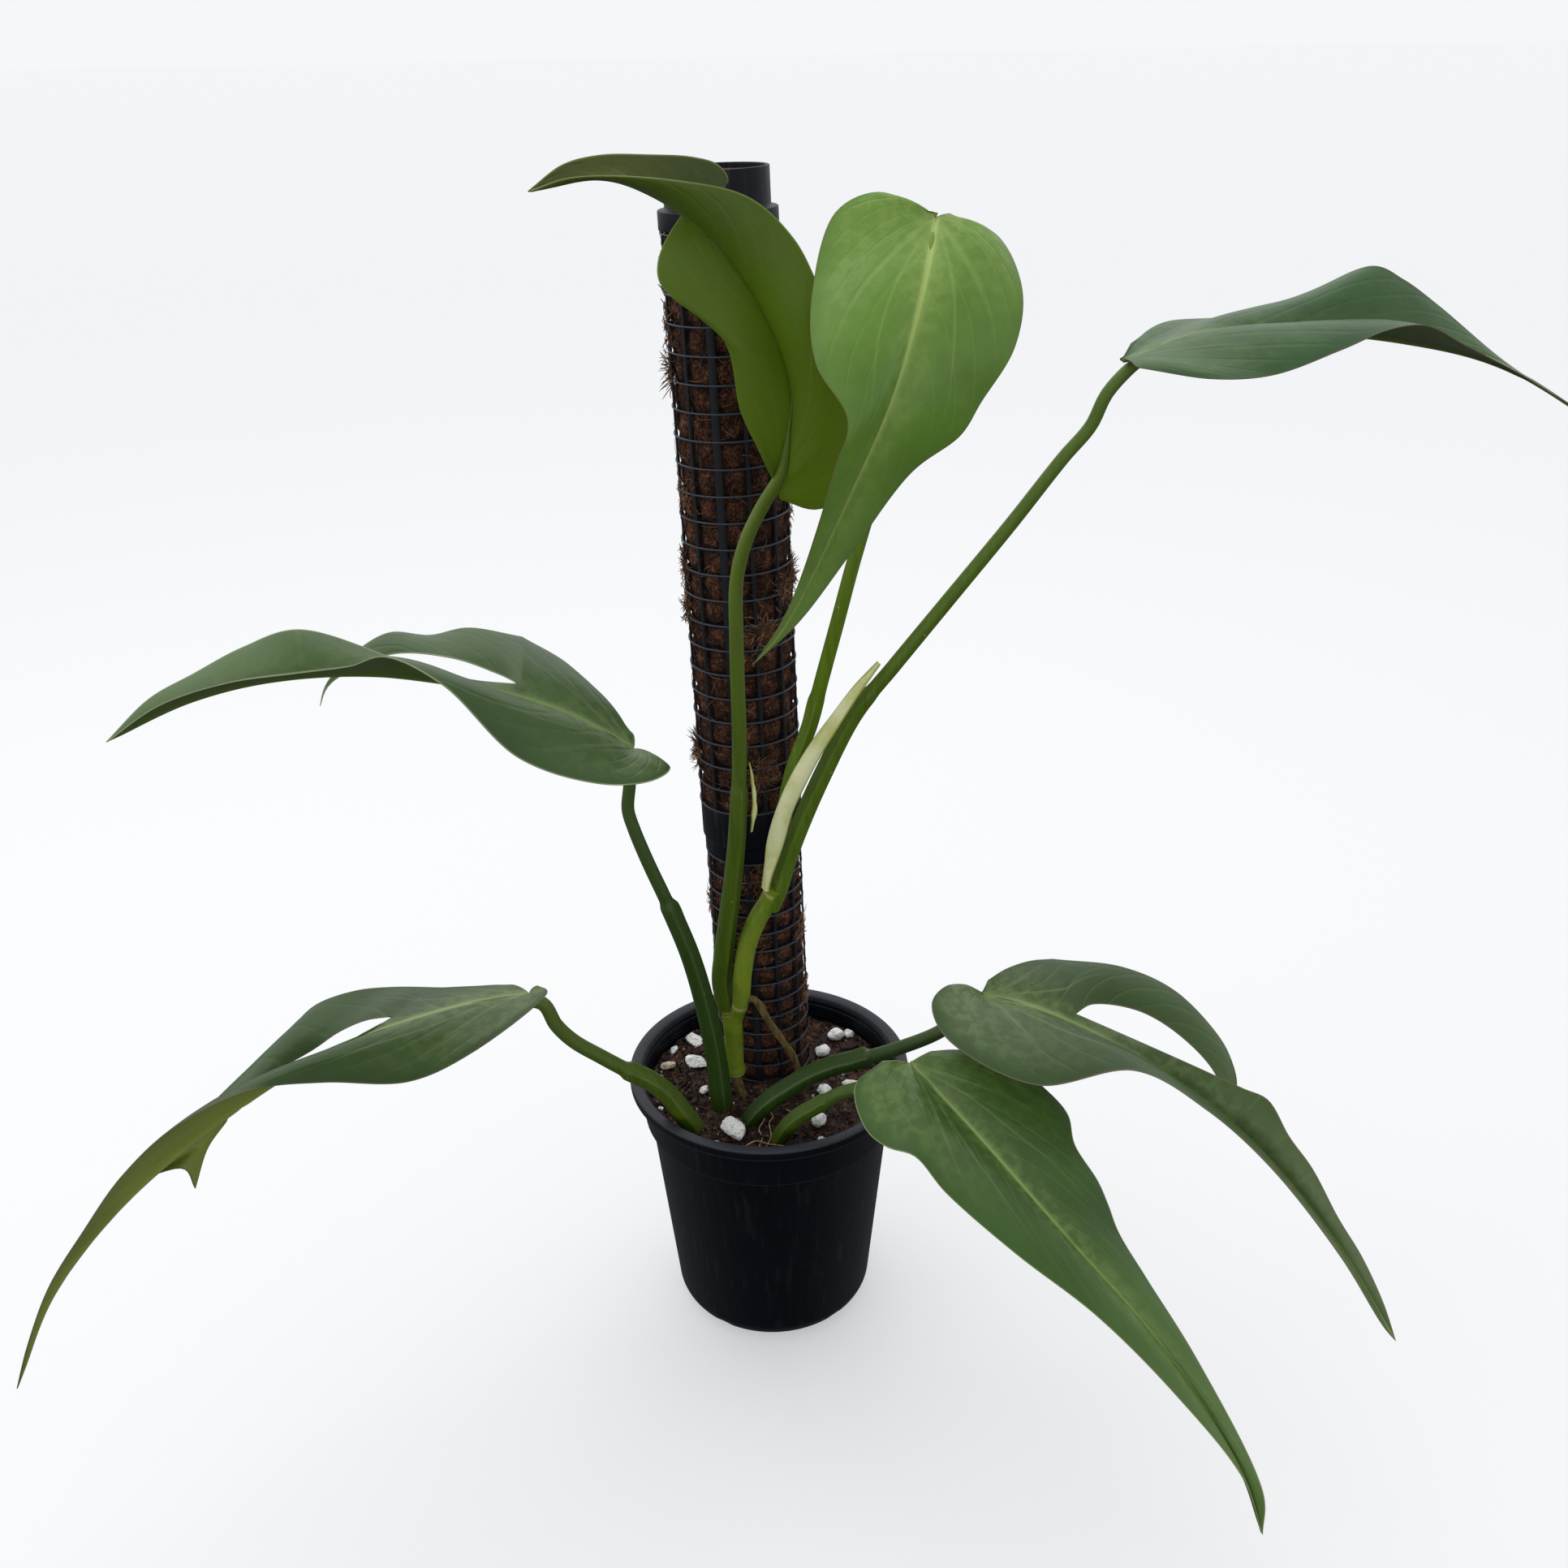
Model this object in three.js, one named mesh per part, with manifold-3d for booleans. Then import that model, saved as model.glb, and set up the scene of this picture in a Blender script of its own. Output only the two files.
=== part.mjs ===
// A potted Burle Marx flame monstera on a coir-filled climbing pole.
// Millimetres, +Z up, +X to the viewer's right, -Y towards the viewer.
// The origin is the middle of the pot's flat underside.

import * as THREE from 'three';
import { mergeVertices } from 'three/addons/utils/BufferGeometryUtils.js';
import Module from 'manifold-3d';

const wasm = await Module();
wasm.setup();

// Driving dimensions

const GAP = 0.35; // clearance between pieces that touch
const SLIVER = 0.05; // joins and cuts leave no edge shorter than this

const pot = {
  height: 165,
  rimRadius: 83.7,
  rimDepth: 6,
  openingRadius: 78, // inner edge of the flat rim
  neckRadius: 77, // wall just under the rim
  collarRadius: 75.8, // wall just over the step line
  collarDepth: 24, // height of the band between the rim and the step line
  shoulderRadius: 72.4, // wall just under the step line
  footRadius: 60.7, // wall where the lower corner starts to round
  cornerRadius: 14,
  wall: 1.6,
  drainHoles: 5,
  drainRadius: 6.5,
  drainAngle: -122, // degrees, the drain hole that faces front left
  sides: 36,
};

const CORNER_STEPS = 4;
const stepHeight = pot.height - pot.rimDepth - pot.collarDepth;

const soil = {
  level: 151,
  mound: 2.5, // how much higher the middle lies than the edge
  crumb: 0.9,
  rings: 5,
  sides: 30,
};

const pole = {
  x: -0.6,
  y: 25,
  columns: 12, // upright wires round the net
  wireHalf: 1.2,
  lower: { fill: 24.9, netInner: 26.1, netOuter: 27.8, rows: 7 }, // every second ring of the real net
  upper: { fill: 26.4, netInner: 27.6, netOuter: 29.3, rows: 11 },
  foot: 62, // lowest point of the buried foot
  netFoot: 141,
  couplerBottom: 304,
  couplerStep: 313.5,
  couplerTop: 334,
  collarBottom: 640,
  collarTop: 649,
  top: 667.5,
  sleeveRadius: 25.8,
  sleeveWall: 1.8,
};

// The pole leans a little to the left in the pot, and the plant that is tied to it leans with it.
// Pole, stem and leaves are drawn upright and then turned by this much about 'axis'.

const lean = {
  about: [0, 25, 150],
  to: [-1.6, 24.8, 149.6],
  axis: [0, -0.9, 0.436],
  degrees: 1.51,
};

const blade = {
  thickness: 0.9,
  rib: 1.3, // how far the midrib stands out under the blade at the joint
  lobeRows: 5,
  rows: 15,
  columns: 3,
  stripColumns: 1, // columns between the midrib and a slit
  fingerStep: 18, // length of a row of a finger
};

const STALK_SIDES = 8;
const STEM_SIDES = 10;
const STALK_STEPS = 12;
const SHEATH_STEP = 0.012; // half the share of a stalk over which its wings end
const SHEATH_THICKNESS = 0.8;
const ROOT_SIDES = 7;
const HOLE_DEPTH = 2.5; // how far a hole in the soil goes on below the end that stands in it

// Leaves. Every point is [x, y, z] in millimetres.
// A midrib runs from the joint with the stalk to the drip tip. Each margin runs from beside the
// notch, round the lobe at the base, to the same tip. Left and right are as seen from the upper
// face, looking towards the tip. 'lobe' is the share of a margin that belongs to the lobe, and
// 'arch' is how far the half bulges upwards, as a share of its width.

const leaves = [
  {
    name: 'leaf_1',
    colour: 0x5c6b2c,
    stalk: {
      route: [
        [-20, -9.5, 212], [-22.5, -11, 232], [-20, -15, 254], [-17, -18, 274], [-12, -22, 305],
        [-8, -27, 336], [-4, -31, 386], [-2, -36, 450], [0, -38, 483], [6, -41, 504], [14, -44, 520],
      ],
      base: 6.2, neck: 4.6, top: 3.1, sheathEnd: 0.46,
    },
    midrib: [
      [21, -46, 531], [30, -52, 573], [19, -50, 611], [-5, -42, 645], [-29, -36, 662], [-50, -36, 669],
      [-82, -38, 665],
    ],
    left: {
      lobe: 0.12, arch: 0.1,
      margin: [
        [19, -50, 542], [7, -60, 569], [1, -64, 602], [-26, -62, 628], [-16, -36, 651],
        [6, -19, 664], [2, -21, 671], [-9, -24, 675], [-28, -27, 677], [-50, -31, 678], [-66, -35, 675],
      ],
    },
    right: {
      lobe: 0.3, arch: 0.12,
      margin: [
        [23, -44, 524], [40, -40, 517], [58, -38, 524], [64, -42, 543], [57, -56, 591],
        [44, -63, 622], [34, -58, 642], [15, -52, 659.5], [-17, -47, 667.5], [-62, -40, 670],
      ],
    },
  },
  {
    name: 'leaf_2',
    colour: 0x6f9a45,
    stalk: {
      route: [
        [9, -15, 287], [12, -12, 298], [15, -11, 320], [23, -13, 363], [34, -17, 395], [40, -21, 419],
        [49, -28, 454], [57, -33, 485], [66, -36, 516], [77, -40, 557], [86, -44, 594], [92, -51, 627],
      ],
      base: 4.2, neck: 4.1, top: 2.7, sheathEnd: 0.34,
    },
    midrib: [[95, -62, 649], [86, -90, 622], [72, -106, 583], [55, -104, 545], [22, -68, 468], [6, -52, 443]],
    left: {
      lobe: 0.2, arch: 0.1,
      margin: [
        [101, -60, 650], [122, -60, 640], [131, -74, 619], [126, -88, 597], [111, -95, 576],
        [102, -98, 563], [81, -98, 548], [54, -87, 509], [29, -66, 469],
      ],
    },
    right: {
      lobe: 0.28, arch: 0.1,
      margin: [
        [89, -62, 653], [70, -60, 660], [52, -62, 653], [40, -80, 622], [40, -104, 597],
        [52, -118, 576], [46, -118, 555], [24, -78, 480],
      ],
    },
  },
  {
    name: 'leaf_3',
    colour: 0x4f6b42,
    stalk: {
      route: [
        [8, -19.5, 286], [13, -22, 299], [18, -22, 315], [25, -24, 335], [39, -26, 368], [57, -28, 404],
        [77, -30, 430], [105, -31, 465], [135, -33, 503], [159, -35, 535], [171, -37, 550], [178, -39, 566],
      ],
      base: 5.4, neck: 4.3, top: 2.8, sheathEnd: 0.4,
    },
    midrib: [
      [184, -40, 581], [219, -34, 591], [251, -28, 590], [325, -12, 578], [381, 5, 561], [447, 26, 524],
    ],
    left: {
      lobe: 0.2, arch: 0.04,
      margin: [
        [190, -28, 586], [214, 2, 590], [246, 9, 590], [276, 7, 597], [312, 5, 611], [328, 5, 604],
        [347, 6, 591], [384, 9, 563], [426, 17, 537],
      ],
    },
    right: {
      lobe: 0.2, arch: 0.08,
      margin: [
        [187, -54, 580], [216, -72, 577], [245, -70, 577], [277, -62, 585], [301, -52, 591],
        [323, -40, 590], [350, -24, 577], [398, 6, 553],
      ],
    },
  },
  {
    name: 'leaf_4',
    colour: 0x4c6a44,
    stalk: {
      route: [
        [-26, -22, 114], [-27, -24, 152], [-28, -26, 186], [-31, -29, 220], [-38, -32, 263],
        [-48, -36, 301], [-56, -39, 328], [-61.5, -42, 350], [-63.5, -43, 362], [-61, -45, 382],
      ],
      base: 6.8, neck: 4.9, top: 3.0, sheathEnd: 0.63,
    },
    midrib: [
      [-57, -45, 398], [-88, -58, 425], [-123, -70, 444], [-173, -80, 458], [-219, -81, 458],
      [-260, -79, 449], [-311, -71, 426],
    ],
    left: {
      lobe: 0.2, arch: 0.08,
      margin: [
        [-49, -50, 396], [-38, -62, 394], [-47, -79, 395], [-70, -92, 401], [-105, -106, 423],
        [-134, -112, 464], [-158, -110, 478], [-177, -104, 472], [-205, -97, 467], [-238, -92, 462],
        [-274, -85, 450],
      ],
    },
    right: {
      lobe: 0.5, arch: 0.08, share: 0.14, slit: 0.25,
      margin: [[-58, -34, 401], [-71, -24, 412], [-90, -14, 433], [-113, -12, 449]],
      strip: [
        [-132, -61, 446], [-161, -63, 457], [-210, -62, 476], [-239, -61, 468], [-264, -65, 457],
        [-287, -67, 446],
      ],
      finger: {
        inner: [[-122, -47, 443], [-143, -42, 450], [-173, -40, 453], [-197, -46, 446], [-207, -47, 439]],
        outer: [
          [-140, -14, 456], [-159, -17, 454], [-177, -24, 459], [-190, -32, 455], [-204, -44, 445],
          [-209, -46, 438],
        ],
        tip: [-211, -50, 431],
      },
    },
  },
  {
    name: 'leaf_5',
    colour: 0x4a6640,
    stalk: {
      route: [
        [-34, -39, 120], [-41, -42, 148], [-48, -44, 164], [-56, -46, 180], [-65, -49, 192.5],
        [-75, -51, 200.5], [-91, -53, 214], [-104, -55, 226], [-112, -59, 240], [-118, -62, 257],
      ],
      base: 6.1, neck: 5.4, top: 3.3, sheathEnd: 0.5,
    },
    midrib: [
      [-124, -62, 264], [-162, -80, 269], [-216, -111, 268], [-262, -148, 257], [-308, -176, 230],
      [-349, -187, 185], [-382, -189, 125],
    ],
    left: {
      lobe: 0.16, arch: 0.08,
      margin: [
        [-118, -66, 271], [-111, -80, 275], [-147, -112, 262], [-177, -126, 256], [-215, -140, 268],
        [-243, -168, 285], [-270, -187, 281], [-296, -193, 260], [-322, -194, 228],
        [-347, -193, 194], [-367, -192, 157],
      ],
    },
    right: {
      lobe: 0.45, arch: 0.06, share: 0.2, slit: 0.62,
      margin: [[-135, -50, 262], [-159, -42, 257], [-175, -42, 257]],
      hole: {
        from: 0.225, to: 0.44,
        inner: [[-202, -101, 270], [-217, -109, 268], [-229, -117, 267]],
        outer: [[-205, -90, 270], [-219, -94, 266], [-231, -104, 262]],
        margin: [[-200, -50, 264], [-218, -60, 269], [-236, -72, 269], [-246, -84, 264]],
      },
      after: [[-257, -96, 257], [-267, -108, 250], [-274, -124, 235]],
      strip: [
        [-300, -160, 233], [-315, -166, 219], [-332, -174, 203], [-353, -182, 178],
        [-370, -186, 149],
      ],
      finger: {
        inner: [[-287, -156, 232]],
        outer: [[-282, -134, 227]],
        tip: [-288, -146, 211],
      },
    },
  },
  {
    name: 'leaf_6',
    colour: 0x4a6a43,
    stalk: {
      route: [
        [-16, -35, 120], [-11, -37, 150], [1, -38, 166], [13, -38, 175], [27, -39, 184.5], [41, -40, 191],
        [55, -41, 195], [79, -42, 203], [100, -43, 213], [114, -44, 226],
      ],
      base: 5.4, neck: 5.6, top: 3.3, sheathEnd: 0.57,
    },
    midrib: [
      [123, -45, 238], [153, -62, 238], [194, -86, 226], [249, -120, 196], [290, -155, 154],
      [319, -183, 107],
    ],
    left: {
      lobe: 0.5, arch: 0.1, share: 0.14, slit: 0.2,
      margin: [[127, -40, 244], [138, -34, 247], [152, -30, 249], [165, -29, 249]],
      strip: [
        [196, -78, 230], [227, -97, 223], [252, -109, 215], [263, -117, 213], [272, -129, 198],
        [282, -139, 185], [293, -153, 164], [304, -163, 146], [313, -175, 126],
      ],
      finger: {
        inner: [[183, -58, 237], [210, -56, 229], [234, -62, 213], [250, -72, 195]],
        outer: [[205, -30, 242], [233, -38, 230], [255, -53, 209], [261, -61, 198], [263, -69, 186]],
        tip: [254, -84, 176],
      },
    },
    right: {
      lobe: 0.26, arch: 0.1,
      margin: [
        [114, -50, 246], [103, -58, 254], [92, -75, 254], [98, -95, 245], [141, -118, 230],
        [192, -119, 237], [229, -126, 215], [259, -143, 190], [292, -166, 149], [313, -180, 114],
      ],
    },
  },
  {
    name: 'leaf_7',
    colour: 0x577a48,
    stalk: {
      route: [
        [-2, -49, 122], [4.5, -54, 147], [9, -56, 157], [13, -58, 164.5], [20, -61, 173.5], [31, -64, 182.5],
        [42, -67, 191.5], [52, -69, 196], [66, -72, 207],
      ],
      base: 5.3, neck: 4.4, top: 3.1, sheathEnd: 0.53,
    },
    midrib: [
      [80, -75, 216], [111, -120, 201], [149, -170, 176], [189, -215, 145], [220, -246, 100], [232, -258, 64],
    ],
    left: {
      lobe: 0.22, arch: 0.1,
      margin: [
        [92, -72, 221], [107, -72, 221], [132, -78, 218], [150, -94, 210], [161, -106, 201],
        [162, -123, 194], [171, -140, 184], [174, -152, 179], [177, -165, 172], [186, -187, 163],
        [205, -220, 140], [231, -254, 89],
      ],
    },
    right: {
      lobe: 0.28, arch: 0.1,
      margin: [
        [65, -79, 221], [49, -92, 215], [53, -115, 204], [63, -125, 200], [77, -135, 201],
        [91, -152, 191], [122, -181, 176], [158, -208, 159], [191, -232, 132], [222, -252, 95],
      ],
    },
  },
];

// Stem and roots

const stem = {
  lower: [[-18.5, -9.5, 167], [-18.5, -10, 180], [-18, -10, 196], [-19, -10, 214]],
  lowerRadius: 5.7,
  upper: [[-16, -14, 208], [-12, -19, 224], [-10, -20, 243], [-6, -20, 263], [1, -20, 280], [7, -19, 289]],
  upperRadius: 5.4,
  root: [[-12, -19, 222], [-5, -21, 226], [4, -20, 208], [12, -17, 191], [18, -14, 175], [21, -13, 142]],
  rootRadius: 2.1,
  stub: [[-18.5, -9.5, 172], [-17, -12, 160], [-14, -14, 150], [-12, -16, 138]],
  stubRadius: 3,
};

// Sheaths beside the stalks: a trough along its route, closed side turned to 'turn' degrees,
// where 0 is to the left and 90 is towards the viewer

const sheaths = [
  {
    name: 'sheath_1', besideLeaf: 1, colour: 0x9fae5a, radius: 1.9, arc: 200, turn: 150,
    route: [[-1.6, -27, 338], [1.4, -28, 350], [1.4, -29, 362], [-0.5, -30, 380]],
  },
  {
    name: 'sheath_3', besideLeaf: 3, colour: 0xe2e2c4, radius: 5.2, arc: 220, turn: 45,
    route: [
      [8.6, -24.5, 301], [13.4, -27, 331], [21, -29, 356], [38, -31, 387], [57, -32, 414], [72, -33, 433],
    ],
  },
];

// Perlite grains on the soil: [x, y, length, width, turn in degrees]

const perlite = [
  [-48, 45, 14, 9, -50], [-60, 35, 7, 5, 80], [-62, 17, 9, 6, 20], [-45, 19, 15, 9, -15],
  [-39, -8, 7, 5, 70], [-64, -24, 4, 3, -40], [-30.5, -58, 4, 3, 0], [-20, -48, 17, 13, -60],
  [-4.5, -23.5, 8, 7, 20], [33.5, 28, 11, 8, 60], [33, -12, 9, 7, 20], [48.5, -4.5, 10, 6, 5],
  [29, -41, 10, 9, 70], [30, -56, 4, 3.5, 0], [42, 44, 11, 9, 25], [50.5, 48.5, 7, 6, 40],
];

// Bark chips: [x, y, length, turn in degrees]

const bark = [
  [50, 33, 12, 20],
  [59, 21.5, 10, -35],
  [-54, -1, 11, 60],
  [16, -48, 9, 80],
];

// Small helpers

function seeded(seed) {
  let state = seed;
  return () => {
    state = (state + 0x6d2b79f5) | 0;
    let t = Math.imul(state ^ (state >>> 15), 1 | state);
    t = (t + Math.imul(t ^ (t >>> 7), 61 | t)) ^ t;
    return ((t ^ (t >>> 14)) >>> 0) / 4294967296;
  };
}

const radians = THREE.MathUtils.degToRad;

const smooth = (low, high, value) => THREE.MathUtils.smoothstep(value, low, high);

function curveThrough(points) {
  const through = points.map((p) => (p.isVector3 ? p : new THREE.Vector3(...p)));
  return new THREE.CatmullRomCurve3(through, false, 'centripetal');
}

function geometryFrom(points, triangles) {
  const geometry = new THREE.BufferGeometry();
  const position = points.flatMap((p) => [p.x, p.y, p.z]);
  geometry.setAttribute('position', new THREE.Float32BufferAttribute(position, 3));
  geometry.setIndex(triangles.flat());
  return geometry;
}

function toSolid(geometry) {
  const bare = geometry.clone();
  bare.deleteAttribute('normal');
  bare.deleteAttribute('uv');
  const merged = mergeVertices(bare, 1e-4);
  return new wasm.Manifold(new wasm.Mesh({
    numProp: 3,
    vertProperties: Float32Array.from(merged.attributes.position.array),
    triVerts: Uint32Array.from(merged.index.array),
  }));
}

function largestOf(solid) {
  return solid.decompose().reduce((best, body) => (body.volume() > best.volume() ? body : best));
}

// The triangles of a solid, with the two ends of each very short edge made one point

function fromSolid(solid) {
  const { vertProperties, triVerts } = solid.getMesh();
  const points = [];
  for (let i = 0; i < vertProperties.length; i += 3) {
    points.push(new THREE.Vector3().fromArray(vertProperties, i));
  }
  const stands = points.map((_, i) => i);
  const standFor = (i) => (stands[i] === i ? i : standFor(stands[i]));
  for (let i = 0; i < triVerts.length; i += 3) {
    for (const [from, to] of [[0, 1], [1, 2], [2, 0]]) {
      const a = standFor(triVerts[i + from]);
      const b = standFor(triVerts[i + to]);
      if (points[a].distanceTo(points[b]) < SLIVER) {
        stands[Math.max(a, b)] = Math.min(a, b);
      }
    }
  }
  const triangles = new Map();
  for (let i = 0; i < triVerts.length; i += 3) {
    const corners = Array.from(triVerts.slice(i, i + 3), standFor);
    const key = corners.toSorted((a, b) => a - b).join(',');
    if (new Set(corners).size < 3) {
      continue;
    }
    if (triangles.has(key)) {
      triangles.delete(key);
    } else {
      triangles.set(key, corners);
    }
  }
  return geometryFrom(points, [...triangles.values()]);
}

function turned(profile, sides) {
  const geometry = new THREE.LatheGeometry(profile.map(([r, z]) => new THREE.Vector2(r, z)), sides);
  geometry.rotateX(Math.PI / 2);
  return geometry;
}

function cylinder(radius, low, high, x, y, sides = 24) {
  const geometry = new THREE.CylinderGeometry(radius, radius, high - low, sides);
  geometry.rotateX(Math.PI / 2);
  geometry.translate(x, y, (low + high) / 2);
  return geometry;
}

// The point that lies 'by' beyond the first point of a route

function beyond(route, by) {
  const [end, next] = route.slice(0, 2).map((p) => new THREE.Vector3(...p));
  return end.clone().addScaledVector(end.clone().sub(next).normalize(), by);
}

function longer(route, by) {
  return [beyond(route, by), ...route.slice(1, -1), beyond(route.toReversed(), by)];
}

// A closed round tube along a route, with rings at the given shares of its length, carried along
// without twist

function tube(route, radiusAt, sides, shares) {
  const curve = curveThrough(route);
  const steps = shares.length - 1;
  const points = [];
  const triangles = [];
  let normal = new THREE.Vector3(1, 0, 0);
  for (const share of shares) {
    const centre = curve.getPointAt(share);
    const along = curve.getTangentAt(share);
    const radius = radiusAt(share);
    normal = normal.clone().addScaledVector(along, -normal.dot(along)).normalize();
    const across = along.clone().cross(normal);
    for (let j = 0; j < sides; j += 1) {
      const angle = (2 * Math.PI * j) / sides;
      points.push(centre.clone()
        .addScaledVector(normal, radius * Math.cos(angle))
        .addScaledVector(across, radius * Math.sin(angle)));
    }
  }
  const at = (i, j) => i * sides + (j % sides);
  for (let i = 0; i < steps; i += 1) {
    for (let j = 0; j < sides; j += 1) {
      triangles.push([at(i, j), at(i, j + 1), at(i + 1, j + 1)], [at(i, j), at(i + 1, j + 1), at(i + 1, j)]);
    }
  }
  const first = points.push(curve.getPointAt(0)) - 1;
  const last = points.push(curve.getPointAt(1)) - 1;
  for (let j = 0; j < sides; j += 1) {
    triangles.push([first, at(0, j + 1), at(0, j)], [last, at(steps, j), at(steps, j + 1)]);
  }
  return geometryFrom(points, triangles);
}

// Leaf blades

function rowOfPoints(from, to, up, arch, shares) {
  const width = from.distanceTo(to);
  return shares.map((v) => from.clone().lerp(to, v).addScaledVector(up, arch * width * 4 * v * (1 - v)));
}

function evenShares(count) {
  return Array.from({ length: count + 1 }, (_, j) => j / count);
}

// The way up for a row that runs from the midrib to the margin

function upFrom(along, across, side) {
  const up = side === 'left' ? along.clone().cross(across) : across.clone().cross(along);
  return up.normalize();
}

// The shares of the midrib at which both halves have a row, with one at each end of a cut

function stationsOf(leaf) {
  const stations = evenShares(blade.rows);
  for (const { slit, hole } of [leaf.left, leaf.right]) {
    for (const share of [slit, hole?.from, hole?.to]) {
      if (share) {
        stations[Math.round(share * blade.rows)] = share;
      }
    }
  }
  return stations;
}

function pointsAlong(curve, shares) {
  return shares.map((t) => ({ point: curve.getPointAt(t), along: curve.getTangentAt(t) }));
}

// The rows of a patch from a line of points to an outer curve, with its first and last row given

function rowsBetween(inner, outerCurve, side, arch, firstRow, lastRow) {
  const columns = firstRow.length - 1;
  const last = inner.length - 1;
  const rows = inner.map(({ point, along }, i) => {
    const end = outerCurve.getPointAt(i / last);
    const up = upFrom(along.clone().add(outerCurve.getTangentAt(i / last)), end.clone().sub(point), side);
    return rowOfPoints(point, end, up, arch, evenShares(columns));
  });
  return [firstRow, ...rows.slice(1, -1), lastRow];
}

// One half of a blade as a list of patches, each a list of rows that share their end points

function halfPatches(leaf, side) {
  const half = leaf[side];
  const midrib = curveThrough(leaf.midrib);
  const stations = stationsOf(leaf);
  const tip = midrib.getPointAt(1);
  const strips = half.share ? blade.stripColumns : 0;
  const share = half.share ?? 0;
  const stripShares = evenShares(strips).slice(0, -1).map((v) => v * share);
  const outerShares = evenShares(blade.columns - strips).map((v) => share + v * (1 - share));
  const shares = half.share ? [...stripShares, ...outerShares] : evenShares(blade.columns);
  const indexOf = (m) => stations.indexOf(m);
  const marginShares = (from, to, count) => evenShares(count).map((t) => from + (to - from) * t);

  // Whole rows from the midrib to the margin
  const wholeRow = (m, marginCurve, t) => {
    const point = midrib.getPointAt(m);
    const end = marginCurve.getPointAt(t);
    const along = midrib.getTangentAt(m).add(marginCurve.getTangentAt(t));
    return rowOfPoints(point, end, upFrom(along, end.clone().sub(point), side), half.arch, shares);
  };
  const wholeRows = (from, to, marginCurve, tFrom, tTo) => {
    const part = stations.slice(from, to + 1);
    const ts = marginShares(tFrom, tTo, part.length - 1);
    return part.map((m, i) => wholeRow(m, marginCurve, ts[i]));
  };

  // The lobe fans out from the joint
  const marginCurve = curveThrough(half.share ? half.margin : [...half.margin, tip]);
  const lobeShares = marginShares(0, half.lobe, blade.lobeRows);
  const patches = [lobeShares.map((t) => wholeRow(0, marginCurve, t))];
  if (!half.share) {
    const body = wholeRows(0, blade.rows, marginCurve, half.lobe, 1);
    body[body.length - 1] = body[body.length - 1].map(() => tip.clone());
    patches.push(body);
    return patches;
  }

  // The stretch up to the first cut
  let rows = wholeRows(0, indexOf(half.hole?.from ?? half.slit), marginCurve, half.lobe, 1);
  patches.push(rows);
  let rootRow = rows[rows.length - 1];

  if (half.hole) {
    const [from, to] = [indexOf(half.hole.from), indexOf(half.hole.to)];
    const marginAlong = curveThrough([half.margin[half.margin.length - 1], ...half.hole.margin]);
    const endRow = wholeRow(half.hole.to, marginAlong, 1);
    const innerEdge = curveThrough([rootRow[strips], ...half.hole.inner, endRow[strips]]);
    const outerEdge = curveThrough([rootRow[strips], ...half.hole.outer, endRow[strips]]);
    patches.push(rowsBetween(pointsAlong(midrib, stations.slice(from, to + 1)), innerEdge, side, 0,
      rootRow.slice(0, strips + 1), endRow.slice(0, strips + 1)));
    patches.push(rowsBetween(pointsAlong(outerEdge, evenShares(to - from)), marginAlong, side, half.arch,
      rootRow.slice(strips), endRow.slice(strips)));
    const afterCurve = curveThrough([half.hole.margin[half.hole.margin.length - 1], ...half.after]);
    rows = wholeRows(to, indexOf(half.slit), afterCurve, 0, 1);
    rows[0] = endRow;
    patches.push(rows);
    rootRow = rows[rows.length - 1];
  }

  // The strip along the midrib that runs on to the drip tip
  const stripEdge = curveThrough([rootRow[strips], ...half.strip, tip]);
  const stripRoot = rootRow.slice(0, strips + 1);
  patches.push(rowsBetween(pointsAlong(midrib, stations.slice(indexOf(half.slit))), stripEdge, side,
    half.arch, stripRoot, stripRoot.map(() => tip.clone())));

  // The finger beyond the slit, with a tip of its own
  const fingerTip = new THREE.Vector3(...half.finger.tip);
  const fingerInner = curveThrough([rootRow[strips], ...half.finger.inner, fingerTip]);
  const fingerOuter = curveThrough([rootRow[rootRow.length - 1], ...half.finger.outer, fingerTip]);
  const fingerRows = Math.max(3, Math.round(fingerOuter.getLength() / blade.fingerStep));
  const fingerRoot = rootRow.slice(strips);
  patches.push(rowsBetween(pointsAlong(fingerInner, evenShares(fingerRows)), fingerOuter, side,
    half.arch, fingerRoot, fingerRoot.map(() => fingerTip.clone())));
  return patches;
}

// A thin closed solid from patches of the upper face: both faces share one way of splitting

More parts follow.
